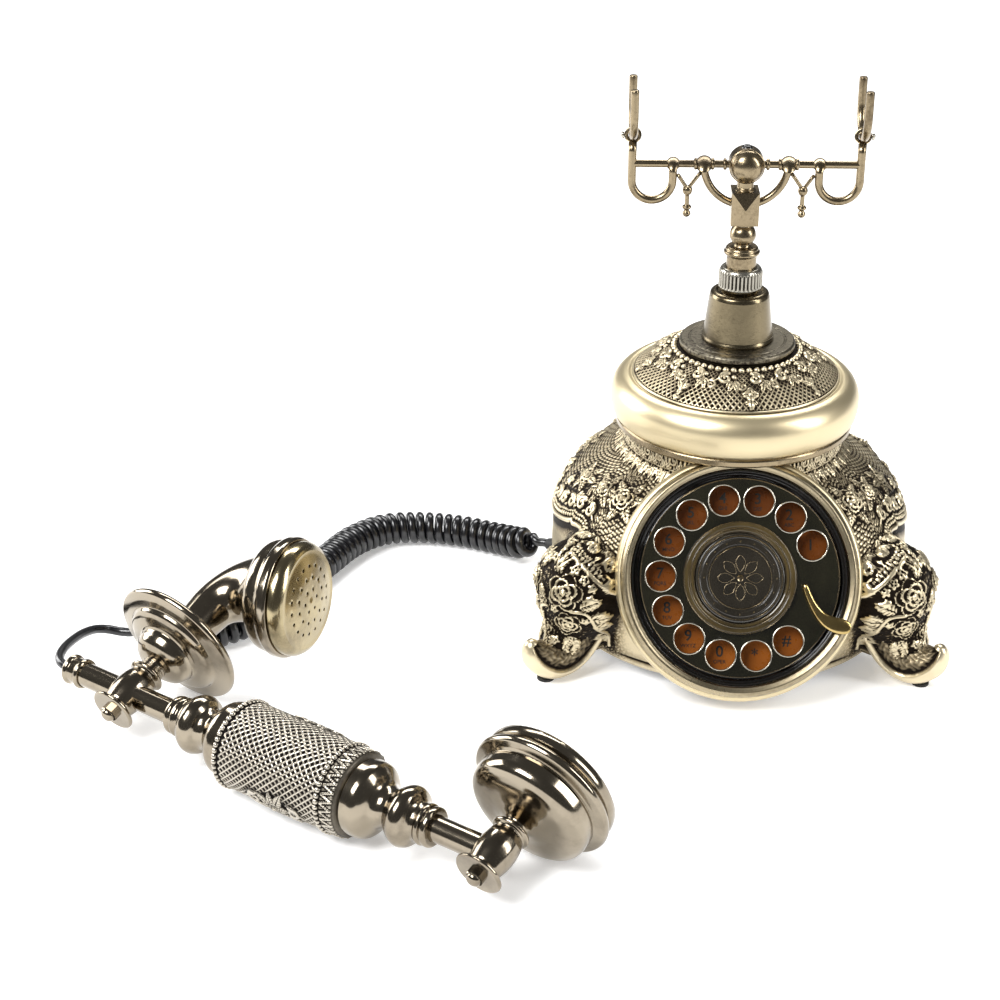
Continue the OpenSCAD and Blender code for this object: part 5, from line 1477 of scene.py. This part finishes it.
def build_cap():
    """A smooth ring, and a dome with a lattice, beads, scrolls and lozenges."""
    Build().lathe(BASE @ shift(0, 0, CAP_Z), CAP_RING, 192).make(
        "cap_ring", SMOOTH, "base", "cap_shell", wear=0.86)
    outline = rounded(DOME, 0.5, 3)
    full = travel(outline)[-1]
    rows, cols = 92, 660
    at = np.linspace(0, full, rows)

    def place(r, z, a):
        return np.stack([r * np.sin(a), -r * np.cos(a), CAP_Z + z + 0 * a], -1)

    def on(angle, radius):
        z = np.interp(-radius, -outline[:, 0], outline[:, 1])
        return place(radius, z, math.radians(angle))

    rel = TurnedRelief(outline, at, cols, place, (0, 0, 1))
    s = at[:, None] + 0 * rel.deg
    # The turn of the ridges grows with the logarithm of the radius, which keeps them square
    count = 104
    ridge = rel.lattice(count, np.log(np.maximum(rel.r, 20)) / (2 * PI) * count, 5)
    zone = smooth(1.6, 2.0, s) * (1 - smooth(full - 6.2, full - 5.6, s))
    rel.h += zone * ridge * 0.65
    rel.h = np.maximum(rel.h, np.maximum(1 - ((s - 1.0) / 0.75) ** 2, 0) * 0.8)
    beads, scrolls, lozenges = 52, 16, 8
    for k in range(beads):
        rel.bead(on(k * 360 / beads, 25.9), 1.35, 1.3)
    for k in range(scrolls):
        b = k * 360 / scrolls + CAP_TURN
        flip = k % 2 == 1
        rel.wire(on(b + 5, 30.2), spiral(2.7, 1.3, (4.1, -1.3)), 0.95, 0, flip, 1.9)
        rel.wire(on(b - 4.5, 33.2), spiral(2.0, 1.2, (3.4, 2.2)), 0.70, 40, not flip, 1.3)
        between = b + 180 / scrolls
        for t, ln in ((250, 5.6), (290, 5.6), (215, 3.8), (325, 3.8)):
            rel.leaf(on(between, 31.2), ln, 1.15, t, 1.4, 0.1)
        rel.bead(on(between, 29.3), 1.1, 1.1)
    for k in range(lozenges):
        b = k * 360 / lozenges + CAP_TURN
        if k % 2:
            for t, ln in ((90, 5.2), (50, 4.6), (130, 4.6), (270, 3.0)):
                rel.leaf(on(b, 37.6), ln, 1.3, t, 1.5, 0)
            rel.bead(on(b, 37.6), 1.15, 1.2)
            rel.flower(on(b, 40.6), 1.9, 4, 0, 1.2)
        else:
            for t in (0, 90, 180, 270):
                rel.leaf(on(b, 36.4), 3.7, 1.75, t, 1.6, 0)
            rel.leaf(on(b, 38.4), 4.6, 1.5, 270, 1.6, 0)
            for t in (222, 318):
                rel.leaf(on(b, 38.2), 3.6, 1.0, t, 1.3, 0)
            rel.bead(on(b, 36.4), 1.0, 1.6)
    wear = worn(rel.h, 6, 5, True, 0.68, 0.34, 0.72, 1.0, 0.18)
    rel.make("cap_dome", BASE, 0.9, wear, RESIN, "base")


build_cap()

GRIP_R, BEAD_R = 16.8, 17.3
SLEEVE = [
    (5.2, -30), (15.6, -30), (16.6, -29.4), (17.4, -28.6, 0.4), (17.4, -28.0, 0.4),
    (16.7, -27.0, 0.3), (16.8, 0), (16.7, 20.8, 0.3), (17.4, 21.7, 0.4), (17.4, 22.3, 0.4),
    (16.8, 23.1, 0.3), (16.8, 28.4), (15.9, 30), (5.2, 30),
]


def build_grip():
    """The grip: a lattice with a zigzag band at one end, and a flower on two sides."""
    outline = rounded(SLEEVE, 0.4, 3)
    run = travel(outline)
    first, last = np.interp([0.4 - GRIP_END, GRIP_END - 0.4], outline[2:-2, 1], run[2:-2])
    rows, cols = 190, 330
    at = np.concatenate(
        [[0, first * 0.5, first * 0.97], np.linspace(first, last, rows), [last + 0.4, run[-1]]])

    def place(r, x, a):
        """Angle 0 faces the front when the handset lies down."""
        return np.stack([x + 0 * a, -r * np.cos(a), r * np.sin(a)], -1)

    def on(angle, x):
        return place(GRIP_R, x, math.radians(angle))

    rel = TurnedRelief(outline, at, cols, place, (1, 0, 0), -1)
    x = rel.p[..., 0]
    body = smooth(-26.8, -26.4, x) * (1 - smooth(20.4, 20.8, x))
    rel.h += body * (rel.lattice(38, rel.z / 3.1, 4.5) * 0.8)
    end = smooth(23.2, 23.6, x) * (1 - smooth(28.6, 29.0, x))
    zig = np.abs(((rel.deg / 360 * 30) % 1) - 0.5) * 2
    off = np.abs((x - 23.4) / 5.2 - zig)
    rel.h += end * (0.7 * (off < 0.22) + 0.35 * (off > 0.6))
    for k in range(48):
        for xb in (-28.3, 22.0):
            rel.bead(place(BEAD_R, xb, math.radians(k * 7.5)), 1.0, 0.8)
    for middle_angle in (-14, 166):
        c = on(middle_angle, 0)
        rel.clear(c, 8)
        for k, t in enumerate((10, 55, 100, 150, 190, 235, 280, 325)):
            rel.leaf(c, 9.6 if k % 2 else 7.6, 2.2, t, 1.9, 0.14)
        for dx, da, flip in ((9.5, 6, False), (-9.5, 6, True), (9.0, -12, True), (-9.0, -12, False)):
            rel.wire(on(middle_angle + da, dx), spiral(3.0, 1.3, (5.2, -1.6)), 1.0, 90, flip, 1.8)
        rel.rose(c, 4.9, 15, 3.0)
        rel.rose(on(middle_angle - 16, 4.2), 2.9, 50, 1.9)
        rel.rose(on(middle_angle - 15, -4.4), 2.8, 80, 1.8)
    wear = worn(rel.h, 5, 5, True, 0.60, 0.22, 0.75, 0.9, 0.14)
    rel.make("grip", HAND, 0.75, wear, GRIP, "handset", "grip_sleeve")


build_grip()

# ---------------------------------------------------------------- size

low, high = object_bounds()
